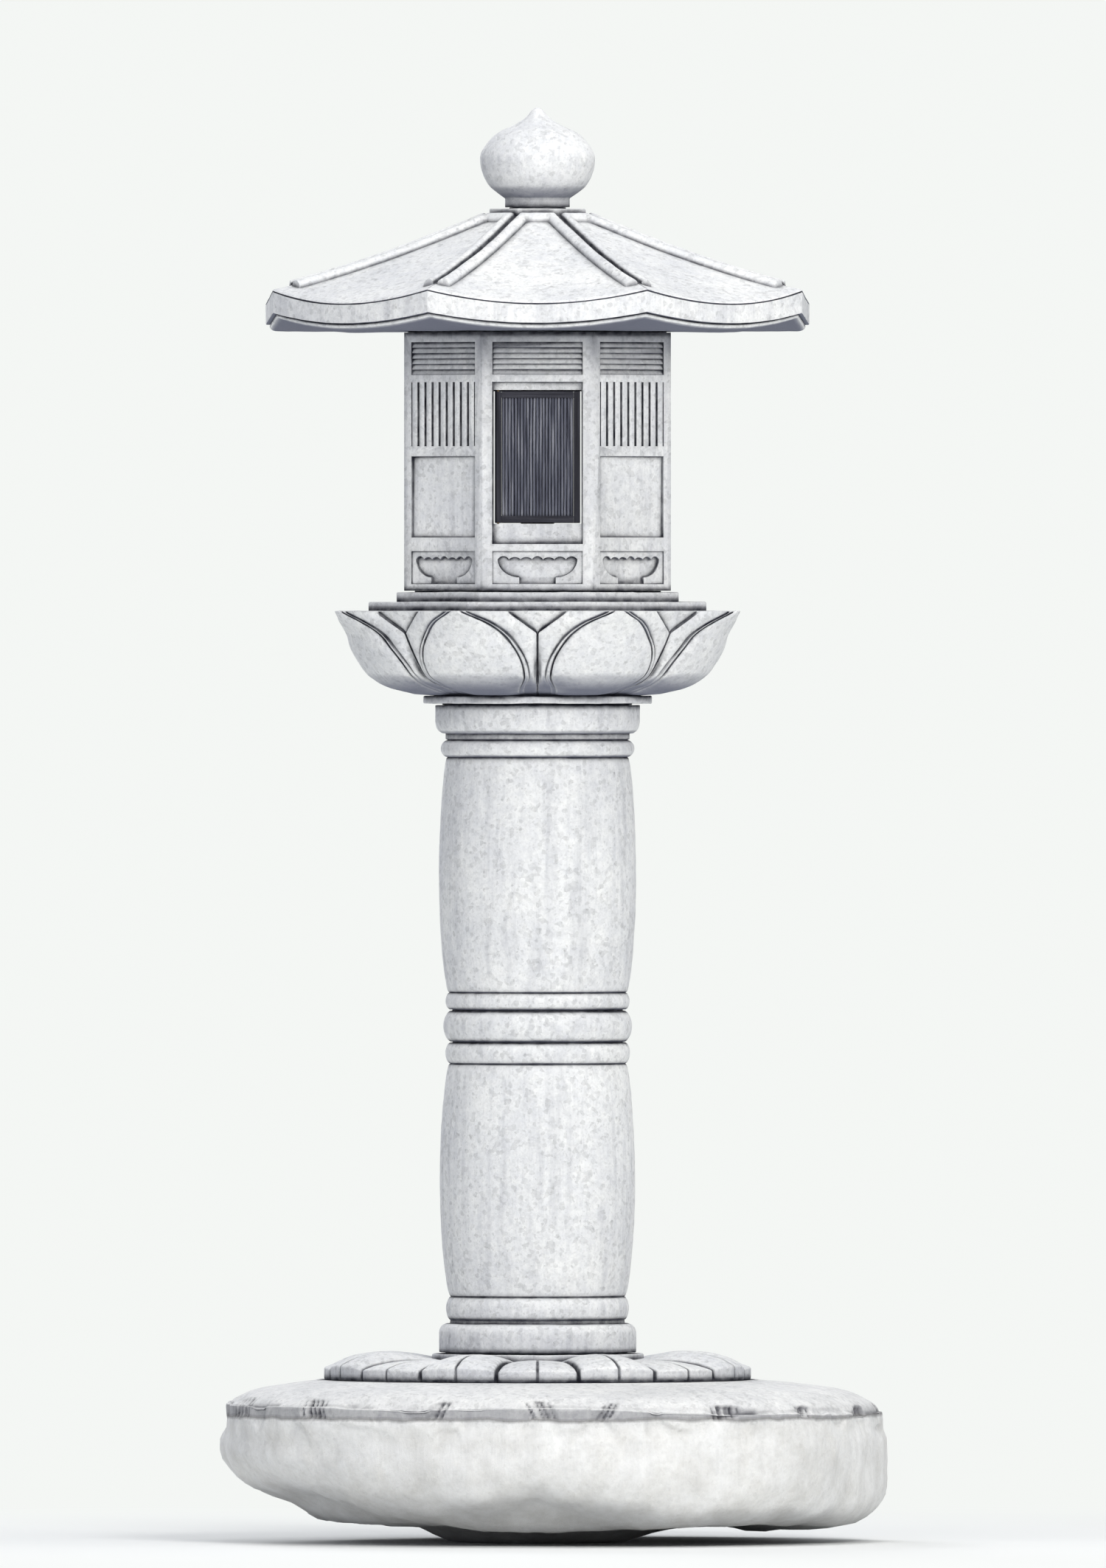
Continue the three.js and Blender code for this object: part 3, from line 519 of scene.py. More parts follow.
def metal_material(name, bright, dull, roughness, metallic):
    """Oxidised metal: a dull skin with brighter rubbed patches."""
    n = material_nodes(name)
    patches = n.noise(45, 6, 0.65)
    colour = n.mix(n.ramp(patches, [(0.42, 0), (0.66, 1)]), dull, bright)
    normal = n.bump(n.noise(300, 4, 0.6), 0.35, 0.6 * MM)
    return n.finish(colour, n.plus(roughness, n.times(patches, 0.2)), normal, metallic=metallic)


def glaze_material():
    """Ash-glazed clay with fine crazing."""
    n = material_nodes("ash_glaze")
    flow = n.noise(60, 5, 0.6)
    colour = n.mix(flow, (0.20, 0.25, 0.17), (0.46, 0.47, 0.36))
    between = n.ramp(n.cells(240, "Distance", "DISTANCE_TO_EDGE"), [(0, 0), (0.06, 1)])
    colour = n.mix(n.times(n.minus(1, between), 0.6), colour, (0.10, 0.08, 0.06))
    return n.finish(colour, 0.22, n.bump(flow, 0.2, 0.6 * MM), specular=0.6)


def wick_material():
    """Cotton cord, charred along its last centimetre."""
    n = material_nodes("cotton_cord")
    threads = n.noise(1.0, 3, 0.5, n.stretched((900, 260, 900)))
    colour = n.mix(threads, (0.48, 0.43, 0.33), (0.80, 0.76, 0.66))
    char_start = high("wick").z - 10 * MM
    char = n.times(n.minus(n.upwards(n.place), char_start), 120, clamp=True)
    colour = n.mix(n.ramp(char, [(0, 0), (1, 1)]), colour, (0.012, 0.010, 0.010))
    return n.finish(colour, 0.9, n.bump(threads, 0.6, 0.6 * MM))


# the third colour of each is for rain streaks and for painted shade
GRANITE = granite_material("pale_granite", (0.82, 0.825, 0.82), (0.68, 0.69, 0.71), (0.15, 0.16, 0.21),
                           0.66)
FIELD_STONE = granite_material("field_stone", (0.82, 0.82, 0.81), (0.66, 0.665, 0.67), (0.14, 0.145, 0.175),
                               0.55, GROUND)
FRAME_TONES = ((0.006, 0.006, 0.010), (0.018, 0.018, 0.027), (0.050, 0.050, 0.062))
BAR_TONES = ((0.016, 0.017, 0.030), (0.085, 0.090, 0.120), (0.27, 0.275, 0.31))
FRAME_WOOD = [wood_material(f"dark_wood_{axis}", i, *FRAME_TONES) for i, axis in enumerate("xyz")]
BAR_WOOD = wood_material("worn_bars", 2, *BAR_TONES)
LEAD = metal_material("oxidised_lead", (0.34, 0.36, 0.39), (0.16, 0.17, 0.19), 0.5, 0.7)
BRONZE = metal_material("brown_bronze", (0.42, 0.28, 0.13), (0.12, 0.08, 0.045), 0.35, 0.9)
IRON = metal_material("rusted_iron", (0.15, 0.075, 0.04), (0.035, 0.03, 0.028), 0.55, 0.75)
GLAZE = glaze_material()
CORD = wick_material()


def finish_stone(obj, node, body, seed, hollow, dent):
    """Granite with hand-cut unevenness: broad shallow hollows and small dents, in millimetres."""
    places = vertex_places(obj)
    uneven = hollow * noise(places, 0.07, seed) + dent * layered_noise(places, 0.016, seed + 9, 2)
    displace(obj, uneven * MM)
    finish_piece(obj, node, body, GRANITE)


# ---- foundation stone

BOULDER_SIDES = 900
SEAT_RADIUS = 404
BEDDING_RADIUS = 150


def boulder_radius(angle):
    """Plan radius of the boulder, in millimetres, where it leaves the ground."""
    return (600 + 33 * np.cos(angle) + 13 * np.sin(2 * angle + 0.7) + 11 * np.cos(3 * angle + 2.2)
            + 6 * np.sin(5 * angle + 0.4) + 5 * np.cos(9 * angle))


def boulder_wave(angle):
    return 5 * np.sin(4 * angle + 1) + 4 * np.sin(7 * angle)


def lip_height(angle):
    """Height above ground, in millimetres, of the broken edge round the boulder's top."""
    left = 0.5 - 0.5 * np.cos(angle)
    return 8 + 16 * left + 6 * np.sin(angle) ** 2 + boulder_wave(angle) / 3


def make_foundation_stone():
    angles = turns(BOULDER_SIDES)
    right = 0.5 + 0.5 * np.cos(angles)
    rim = boulder_radius(angles)
    wave = boulder_wave(angles)
    lip = lip_height(angles)
    front = 6 * np.sin(angles) ** 2
    depth = GROUND / MM

    def blend(left_value, right_value):
        return left_value + (right_value - left_value) * right

    # (radius, height above ground) of each control ring, from the bedding face up to the seat
    controls = [
        (0.5 * BEDDING_RADIUS, -depth),
        (BEDDING_RADIUS, -depth),
        (270, -202 + wave),
        (blend(390, 430), blend(-200, -208) - wave),
        (blend(0.80, 0.90) * rim, blend(-162, -200) + wave),
        (blend(0.92, 0.985) * rim, blend(-128, -164)),
        (rim + wave / 2, blend(-68, -106)),
        (rim + wave / 4, -26),
        (rim, lip - 9),
        (rim - 2, lip - 2.5),
        (rim - 9, lip + 2.5),
        (rim - blend(45, 30), blend(45, 28) + front),
        (rim - 88, blend(54, 49)),
        (SEAT_RADIUS + 12, SEAT_HEIGHT - 1.5),
        (SEAT_RADIUS, SEAT_HEIGHT),
        (0.6 * SEAT_RADIUS, SEAT_HEIGHT),
    ]
    whole = np.ones(BOULDER_SIDES)
    controls = np.array([(radius * whole, height * whole) for radius, height in controls])
    # more rows where the lip and the broken band are
    stations = np.concatenate([np.linspace(0, 0.45, 30), np.linspace(0.45, 0.75, 52)[1:],
                               np.linspace(0.75, 1, 22)[1:]])
    rings = np.empty((len(stations), BOULDER_SIDES, 3))
    for j, angle in enumerate(angles):
        r, z = smooth_path(controls[:, :, j], stations).T * MM
        rings[:, j] = level_ring(angle, r, GROUND + z)
    obj = ring_object("foundation_stone_boulder", rings)
    weather_boulder(obj)
    chip_lip(obj)
    finish_piece(obj, "foundation_stone", "stand", FIELD_STONE, sharp_degrees=50)


def boulder_coordinates(obj):
    """Turn about the axis, distance from it, height above ground and above the lip of each vertex."""
    places = vertex_places(obj)
    turn = np.arctan2(places[:, 1], places[:, 0])
    above = places[:, 2] - GROUND
    return turn, np.hypot(places[:, 0], places[:, 1]), above, above - lip_height(turn) * MM


def weather_boulder(obj):
    """Lumps below ground, a broken band up to the lip, a smoother top with faint radial tooling."""
    places = vertex_places(obj)
    turn, out, above, over_lip = boulder_coordinates(obj)
    # the seat and the bedding face stay flat
    free = ease((SEAT_RADIUS + 2) * MM, (SEAT_RADIUS + 40) * MM, out)
    free = np.clip(free + ease(BEDDING_RADIUS * MM, 0.26, out) * (above < -0.15), 0, 1)
    side = 1 - ease(-0.004, 0.010, over_lip)
    band = side * ease(-0.05, -0.01, above)
    rough = (0.0014 + 0.0046 * side - 0.0010 * band) * layered_noise(places, 0.13, 21, 5)
    lumps = 0.013 * (side - band) * layered_noise(places * (1, 1, 1.5), 0.26, 27, 4)
    flakes = 0.006 * ease(0.05, 0.30, noise(places * (1, 1, 1.6), 0.055, 31)) * band
    spokes = ease(0.80, 1.0, np.sin(turn * 61 + 3 * noise(places, 0.2, 8)))
    spokes = 0.0016 * spokes * ease(-0.2, 0.4, noise(places, 0.11, 14)) * (1 - side)
    # a thin broken crack along the lip
    crack = 0.0032 * np.exp(-(over_lip / 0.0024) ** 2) * ease(-0.25, 0.15, noise(places, 0.09, 17))
    displace(obj, free * (rough + lumps - flakes - spokes - crack))


def chip_lip(obj):
    """Scoops broken out of the lip all the way round, each with a few upright cracks in it."""
    draw = np.random.default_rng(12)
    turn, out, above, over_lip = boulder_coordinates(obj)
    band = ease(-0.006, 0.006, above) * (1 - ease(0.003, 0.014, over_lip))
    inward = np.zeros(len(turn))
    angle = 0.0
    while angle < 2 * pi:
        width = draw.uniform(0.014, 0.040)
        depth = draw.uniform(0.004, 0.009)
        slant = draw.uniform(-0.8, 0.8)
        away = (np.mod(turn - angle + pi, 2 * pi) - pi) * out - slant * above
        inward += depth * ease(-width, -0.6 * width, away) * (1 - ease(0.4 * width, width, away))
        for crack in np.arange(-width, width, 0.013):
            inward += 0.006 * np.exp(-((away - crack - draw.uniform(-0.003, 0.003)) / 0.0036) ** 2)
        angle += draw.uniform(0.16, 0.46)
    push_inward(obj, inward * band)


# ---- lotus base

PETALS_ROUND = 8


def mirrored_sectors(half, first_centre, width, count):
    """Angles round the axis from the offsets in degrees across half of one sector."""
    half = np.asarray(half, float)
    sector = np.concatenate([-half[::-1], half[1:-1]])
    centres = first_centre + width * np.arange(count)
    return np.radians((centres[:, None] + sector[None, :]).ravel()), np.tile(sector, count)


def make_lotus_base():
    """Sixteen petals side by side, large and small by turns, each with a cut down its middle."""
    bottom = low("lotus_base").z
    rim_radius = high("lotus_base").x
    plate_radius = 0.196
    plate_top = high("lotus_base").z - bottom
    half_sector = 11.25
    # degrees from a petal's middle, close together at the cut in its middle and at its edge
    half = [0, 0.15, 0.32, 0.5, 0.75, 1.2, 2.2, 3.4, 4.6, 5.8, 7.0, 8.1, 9.0, 9.7, 10.2, 10.55, 10.8, 11.0,
            11.12, half_sector]
    angles, off = mirrored_sectors(half, 0, 2 * half_sector, 2 * PETALS_ROUND)
    large = np.repeat(np.arange(2 * PETALS_ROUND) % 2 == 1, 2 * len(half) - 2)
    share = np.abs(off) / half_sector
    edge = np.exp(-((half_sector - np.abs(off)) / 0.42) ** 2)
    split = np.exp(-(off / 0.36) ** 2)
    crown = [(0.190, 35), (0.240, 45), (0.296, 51), (0.340, 48), (0.372, 40), (0.396, 28)]
    hollow = [(0.190, 33), (0.240, 33), (0.296, 31), (0.340, 28), (0.372, 24), (0.396, 19)]
    shoulder = (1 - share ** 2.4) ** 0.5
    fullness = np.where(large, shoulder, 0.42 * shoulder)

    def surface(radius):
        valley = through(hollow, radius)
        z = valley + (through(crown, radius) - valley) * fullness
        return (z - ease(0.23, 0.33, radius) * (6.0 * edge + 3.4 * split)) * MM

    bowed = rim_radius - (5.0 * share ** 3 + 3.2 * split + 6.0 * edge) * MM
    rim_top = surface(rim_radius)
    rim_foot = 1.5 * MM
    rows = [(bowed * 0.5, 0), (bowed - 3 * MM, 0), (bowed - 0.8 * MM, 0.8 * MM)]
    rows += [(bowed, rim_foot + (rim_top - rim_foot) * part) for part in np.linspace(0.08, 0.90, 8)]
    rows.append((bowed - 0.8 * MM, rim_top * 0.97))
    for radius in np.linspace(rim_radius - 3 * MM, plate_radius + 1 * MM, 62):
        inset = (rim_radius - bowed) / rim_radius * ease(0.30, 0.39, radius)
        rows.append((radius * (1 - inset), surface(radius)))
    rows += [(plate_radius, plate_top - 2 * MM), (plate_radius - 0.6 * MM, plate_top - 0.6 * MM),
             (plate_radius - 2 * MM, plate_top), (plate_radius * 0.5, plate_top)]
    obj = ring_object("lotus_base_stone", [level_ring(angles, radii, bottom + z) for radii, z in rows])
    finish_stone(obj, "lotus_base", "stand", 41, 0.7, 0.35)


# ---- shaft


def make_shaft():
    foot = foot_of("shaft")
    head = top_of("shaft")
    bottom = top_of("shaft_foot_bedding") + BEDDING_GAP
    top = foot_of("shaft_head_bedding") - BEDDING_GAP
    tenon = 60
    foot_band = [
        (0, foot, 0), (tenon, foot, 2), (tenon, bottom, 0), (182.5, bottom, 2), (182.5, 157, 6),
        (178, 165.5, 5), (169.5, 169.3, 1), (162, 169.8, 0.5), (161.5, 175.6, 0.5),
    ]
    head_band = [
        (168, 1251.6, 0.5), (171, 1252.8, 1), (171, 1263, 0.5), (178, 1263.8, 1), (186.5, 1270, 5),
        (190, 1283, 6), (190, top, 2), (tenon, top, 0), (tenon, head, 2), (0, head, 0),
    ]
    outline = round_corners(foot_band)
    outline += swelling(161, 176, 161, 219, 169.5)
    outline += swelling(162, 220.5, 164, 650, 181, 60, 0.6)
    outline += swelling(162, 651.5, 162, 690, 171)
    outline += [(157.5, 690.6), (157.5, 691.6)]
    outline += swelling(160, 692, 160, 749, 174.5)
    outline += [(157.5, 749.8), (157.5, 751.4)]
    outline += swelling(162, 752, 162, 783, 170.5)
    outline += swelling(165, 784.5, 168.5, 1218, 182.5, 60, 0.6)
    outline += swelling(167, 1219.5, 167, 1251, 180)
    outline += round_corners(head_band)
    obj = turned_object("shaft_stone", refine(outline, 9), 168)
    finish_stone(obj, "shaft", "stand", 51, 0.7, 0.35)


# ---- lotus platform

PETAL_TOP = 1489.5
PETAL_FOOT = 153               # depth of the petals' hem below their top

# radius against depth below the petals' top: crown of a lobe, its edge, the crease between petals
CROWN = [(0, 403), (42, 369), (68, 358), (94, 342), (123, 318), (143, 281), (153, 237)]
LOBE_EDGE = [(0, 398), (42, 357), (68, 345), (94, 328), (123, 302), (143, 268), (153, 230)]
CREASE = [(0, 374), (42, 346), (68, 331), (94, 313), (123, 287), (143, 256), (153, 225)]
# half width of a lobe in degrees against depth
LOBE_WIDTH = [(0, 1.2), (8, 3.6), (20, 7.4), (42, 11.8), (68, 15), (94, 17), (118, 17.6), (138, 16.2),
              (153, 13.5)]
# the narrow raised rim round a lobe: (distance outside its edge, depth below it), in millimetres
RIM_SECTION = [(0.8, 3.4), (1.7, 5.0), (2.6, 3.6), (3.5, 1.6), (5.5, 0.8), (8.2, 1.0), (9.4, 2.4),
               (10.3, 5.2), (11.2, 6.2), (12.2, 5.2)]
# the tip of the petal behind shows between two flanges
TIP_DEPTH = 41
TIP_HALF_WIDTH = 57
CREASE_GAP = 1.3
HALF_PETAL = 22.5


def petal_half(depth):
    """Section of half a petal at a depth: degrees from its centre line, and the radius there."""
    width = through(LOBE_WIDTH, depth)
    crown = through(CROWN, depth)
    edge = through(LOBE_EDGE, depth)
    crease = through(CREASE, depth)
    points = []
    for share in (0, 0.15, 0.3, 0.45, 0.6, 0.72, 0.82, 0.9, 0.96, 1):
        points.append((share * width, edge + (crown - edge) * (1 - share ** 2.3) ** 0.6))
    for beyond, sunk in RIM_SECTION:
        points.append((width + degrees(beyond / edge), edge - sunk))
    start, start_radius = points[-1]
    gap = max(CREASE_GAP, TIP_HALF_WIDTH * (1 - depth / TIP_DEPTH))
    end = HALF_PETAL - degrees((gap + 2) / crease)
    for share in (0.12, 0.28, 0.44, 0.6, 0.76, 0.9, 1):
        # the flange swells a little before it falls to the crease
        swell = 2.5 * sin(pi * share)
        radius = start_radius + (crease - start_radius) * share ** 1.3 + swell
        points.append((start + (end - start) * share, radius))
    groove = ((gap + 1, 0.6), (gap, 4), (max(0.7 * gap, gap - 2), 7), (0.5 * gap, 6), (0.25 * gap, 5),
              (0, 5))
    for to_crease, sunk in groove:
        points.append((HALF_PETAL - degrees(to_crease / crease), crease - sunk))
    return np.array(points).T


def petal_row(depth):
    """Once round at a depth: angles, radii in millimetres, degrees off the nearest lobe's middle."""
    offsets, radii = petal_half(depth)
    angles, off = mirrored_sectors(offsets, HALF_PETAL, 2 * HALF_PETAL, PETALS_ROUND)
    return angles, np.tile(np.concatenate([radii[::-1], radii[1:-1]]), PETALS_ROUND), np.abs(off)


def platform_step(apothem, bottom, top):
    """One of the two octagonal steps under the fire chamber."""
    outline = [(apothem - 12, bottom), (apothem, bottom + 0.1), (apothem, bottom + 8), (apothem, top - 8),
               (apothem, top - 2.2), (apothem - 0.7, top - 0.7), (apothem - 2.2, top), (apothem * 0.6, top)]
    return ring_object("step", [octagon_ring(a * MM, GROUND + z * MM, 30) for a, z in outline])


def make_lotus_platform():
    """Eight petals round the bowl, each with a domed lobe in a rim between two flanges."""
    plate_bottom = foot_of("lotus_platform")
    plate_top = plate_bottom + 14
    rings = []

    def ring(angles, radii, z):
        rings.append(level_ring(angles, radii * MM, GROUND + z * MM))

    foot_angles = petal_row(PETAL_FOOT)[0]
    ring(foot_angles, 100, plate_bottom)
    plate = [(200, plate_bottom, 0), (212, plate_bottom, 2), (212, plate_top, 3), (190, plate_top, 0)]
    for r, z in round_corners(plate):
        ring(foot_angles, r, z)
    depths = [*np.linspace(PETAL_FOOT, 138, 14), *np.linspace(138, 20, 52)[1:], *np.linspace(20, 0, 16)[1:]]
    for depth in depths:
        angles, radii, off = petal_row(depth)
        # the hem is lifted between the lobes
        lift = 7 * ease(8, 19, off) * ease(118, PETAL_FOOT, depth)
        ring(angles, radii, PETAL_TOP - depth + lift)
    ring(angles, radii - 1.5, PETAL_TOP + 0.8)
    for part in (0.93, 0.8, 0.5):
        ring(angles, radii * part, PETAL_TOP + 1)
    obj = ring_object("lotus_platform_stone", rings)
    combine(obj, platform_step(312.5, 1484, 1507), "UNION")
    combine(obj, platform_step(261, 1500, top_of("lotus_platform")), "UNION")
    finish_stone(obj, "lotus_platform", "stand", 61, 0.7, 0.35)


# ---- fire chamber: sizes in millimetres, heights above its foot

CHAMBER_FOOT = low("fire_chamber").z / MM
CHAMBER_HEIGHT = high("fire_chamber").z / MM - CHAMBER_FOOT
CHAMBER_APOTHEM = high("fire_chamber").x / MM
PANEL_HALF = 83.5
KOZAMA = (12, 73)              # the bowl-shaped panel at the foot of each face
KOZAMA_SINKING = 2.5
NECK_HALF = 34
NECK_TOP = 24
BOWL_HALF = 74
BOWL_TOP = 58
SCALLOPS = 7
SCALLOP_RISE = 5
LOUVER = (399, 460)
LOUVER_SLATS = 6
SLAT_EDGE = -1.5
SLAT_FOOT = -5.5
BLIND_LATTICE = (267, 386)
BLIND_BARS = 9
SLOT_HALF = 3
PLAIN_PANEL = (98, 249)
WINDOW = (86, 386)
WINDOW_HALF = 84
WINDOW_REBATE = 8
OPENING = (123.5, 371)
OPENING_HALF = 81.5
CAVITY_APOTHEM = 195
CAVITY_FLOOR = 100
CARVING = 5
CUTTER_START = 5               # distance outside a face where each cutter begins
SOCKET_RADIUS = 3.3


def rectangle(left, right, bottom, top):
    return [(left, bottom), (right, bottom), (right, top), (left, top)]


def bowl_outline():
    """Bowl with a straight neck, round sides and a scalloped upper edge."""
    right = [(NECK_HALF, KOZAMA[0]), (NECK_HALF, NECK_TOP)]
    for t in np.linspace(0, pi / 2, 13)[1:]:
        right.append((NECK_HALF + (BOWL_HALF - NECK_HALF) * sin(t),
                      BOWL_TOP - (BOWL_TOP - NECK_TOP) * cos(t)))
    width = 2 * BOWL_HALF / SCALLOPS
    top = []
    for i in range(SCALLOPS):
        # the scallops of a hand-cut edge are not all alike
        rise = SCALLOP_RISE * (1 + 0.25 * sin(2.3 * i + 0.6))
        for part in np.linspace(0, 1, 9)[1:]:
            top.append((BOWL_HALF - (i + part) * width, BOWL_TOP + rise * sin(pi * part) ** 0.7))
    left = [(-x, z) for x, z in reversed(right)]
    return right + top[:-1] + left


def on_chamber(face, distance, aside, height):
    """Point out from a face of the chamber, along it and above the chamber's foot."""
    out, across = face_axes(face)
    return np.array((*out * (CHAMBER_APOTHEM + distance) + across * aside, CHAMBER_FOOT + height)) * MM


def face_cutter(face, outline, depth, draft=0.0):
    """Prism that sinks an outline (aside, height) into a face, narrowed at its floor by the draft."""
    outline = np.array(outline, float)
    sunk = outline - draft * np.sign(outline - outline.mean(0))
    return solid_between("cutter", [on_chamber(face, -depth, *point) for point in sunk],
                         [on_chamber(face, CUTTER_START, *point) for point in outline])


def louver_cutter(face):
    """A panel of slats, each sloping out towards its lower edge with a shadow gap above it."""
    bottom, top = LOUVER
    pitch = (top - bottom) / LOUVER_SLATS
    section = [(CUTTER_START, top), (CUTTER_START, bottom)]
    for i in range(LOUVER_SLATS):
        section += [(SLAT_EDGE, bottom + i * pitch + 0.4), (SLAT_FOOT, bottom + (i + 0.97) * pitch)]
    section.append((SLAT_FOOT, top))
    ends = [[on_chamber(face, distance, aside, z) for distance, z in section]
            for aside in (-PANEL_HALF, PANEL_HALF)]
    return solid_between("cutter", *ends)


def face_cutters(face):
    """Panels on every face, windows in the front, back, left and right."""
    yield face_cutter(face, rectangle(-PANEL_HALF, PANEL_HALF, *KOZAMA), KOZAMA_SINKING)
    yield face_cutter(face, bowl_outline(), KOZAMA_SINKING + CARVING, 0.5)
    yield louver_cutter(face)
    if face % 2 == 0:
        through_wall = CHAMBER_APOTHEM - CAVITY_APOTHEM + 10
        yield face_cutter(face, rectangle(-WINDOW_HALF, WINDOW_HALF, *WINDOW), WINDOW_REBATE)
        yield face_cutter(face, rectangle(-OPENING_HALF, OPENING_HALF, *OPENING), through_wall)
        return
    yield face_cutter(face, rectangle(-PANEL_HALF, PANEL_HALF, *PLAIN_PANEL), CARVING, 0.6)
    for middle in np.linspace(-PANEL_HALF, PANEL_HALF, BLIND_BARS + 1):
        # narrow slots, with half a slot at each end
        slot = np.clip((middle - SLOT_HALF, middle + SLOT_HALF), -PANEL_HALF, PANEL_HALF)
        yield face_cutter(face, rectangle(*slot, *BLIND_LATTICE), CARVING + 2, 0.4)


def chamber_prism(name, apothem, rounding, bottom, top):
    rings = [octagon_ring(apothem * MM, (CHAMBER_FOOT + z) * MM, 2, rounding * MM) for z in (bottom, top)]
    return ring_object(name, rings)


def make_fire_chamber():
    obj = chamber_prism("fire_chamber_stone", CHAMBER_APOTHEM, 1.5, 0, CHAMBER_HEIGHT)
    for face in range(8):
        for cutter in face_cutters(face):
            combine(obj, cutter)
    cavity = chamber_prism("cavity", CAVITY_APOTHEM, 4, CAVITY_FLOOR, CHAMBER_HEIGHT + 10)
    combine(obj, cavity)
    cut_pivot_sockets(obj)
    soften_edges(obj, 0.9 * MM).harden_normals = True
    bake_modifiers(obj)
    finish_piece(obj, "fire_chamber", "stand", GRANITE)


def cut_pivot_sockets(obj):
    """Holes in the sill and the lintel, a millimetre deeper than the front leaf's two pins reach."""
    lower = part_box("front_leaf_lower_pivot")
    centre = (lower[0] + lower[1]) / 2
    circle = level_ring(turns(20), SOCKET_RADIUS * MM, 0) + (centre.x, centre.y, 0)
    sill, lintel = ((CHAMBER_FOOT + height) * MM for height in OPENING)
    for z0, z1 in ((lower[0].z, sill), (lintel, high("front_leaf_upper_pivot").z)):
        socket = ring_object("socket", [circle + (0, 0, z) for z in (z0 - 1 * MM, z1 + 1 * MM)])
        combine(obj, socket)


# ---- roof: sizes in millimetres

CORNER_RADIUS = 530
CORNER_OUT = CORNER_RADIUS * cos(HALF_FACE)
CORNER_ASIDE = CORNER_RADIUS * sin(HALF_FACE)
SIDE_RADIUS = high("roof").x / MM
ROOF_SEAT = foot_of("roof")
CAP_TOP = top_of("roof")
CAP_APOTHEM = 89
CAP_BOTTOM = 2222
ROOF_SLOPE = 0.4318
ROOF_HOLLOW = 0.0001
CORNER_RISE = 20
RISE_POWER = 2.5
FASCIA = 39
CORNER_FASCIA = 44
UNDER_BAND = 12
UNDER_BAND_INSET = 7.5
BAND_ROUNDING = UNDER_BAND - 4
ROLL_WIDTH = 22
ROLL_HEIGHT = 12
ROLL_VALLEY = 4
ROLL_FOOT = CAP_APOTHEM + ROLL_VALLEY
ROLL_END_MARGIN = 34
ROLL_STOPS = crowded(10)
HIP_LINE_DEPTH = 2.0
HIP_LINE_WIDTH = 0.9
SEAT_BOSS = 290


def towards_hip(out, aside):
    """0 on the middle line of a roof face, 1 on its hips."""
    return abs(aside) / (out * tan(HALF_FACE))


def roof_height(out, aside):
    """Height of a roof face: slightly hollow, turned up towards the foot of its hips."""
    run = out - CAP_APOTHEM
    down_hip = max(0, run / (CORNER_OUT - CAP_APOTHEM))
    rise = CORNER_RISE * towards_hip(out, aside) ** 2 * down_hip ** RISE_POWER
    return CAP_BOTTOM - ROOF_SLOPE * run + ROOF_HOLLOW * run * run + rise


def eave_distance(aside):
    """A side bows out: an arc through both its corners and its middle."""
    rise = SIDE_RADIUS - CORNER_OUT
    bow = (CORNER_ASIDE ** 2 + rise ** 2) / (2 * rise)
    return SIDE_RADIUS - bow + sqrt(bow ** 2 - aside ** 2)


def roll_height(across):
    t = 2 * across / ROLL_WIDTH - 1
    return ROLL_HEIGHT * sqrt(1 - t * t) if abs(t) < 1 else 0.0


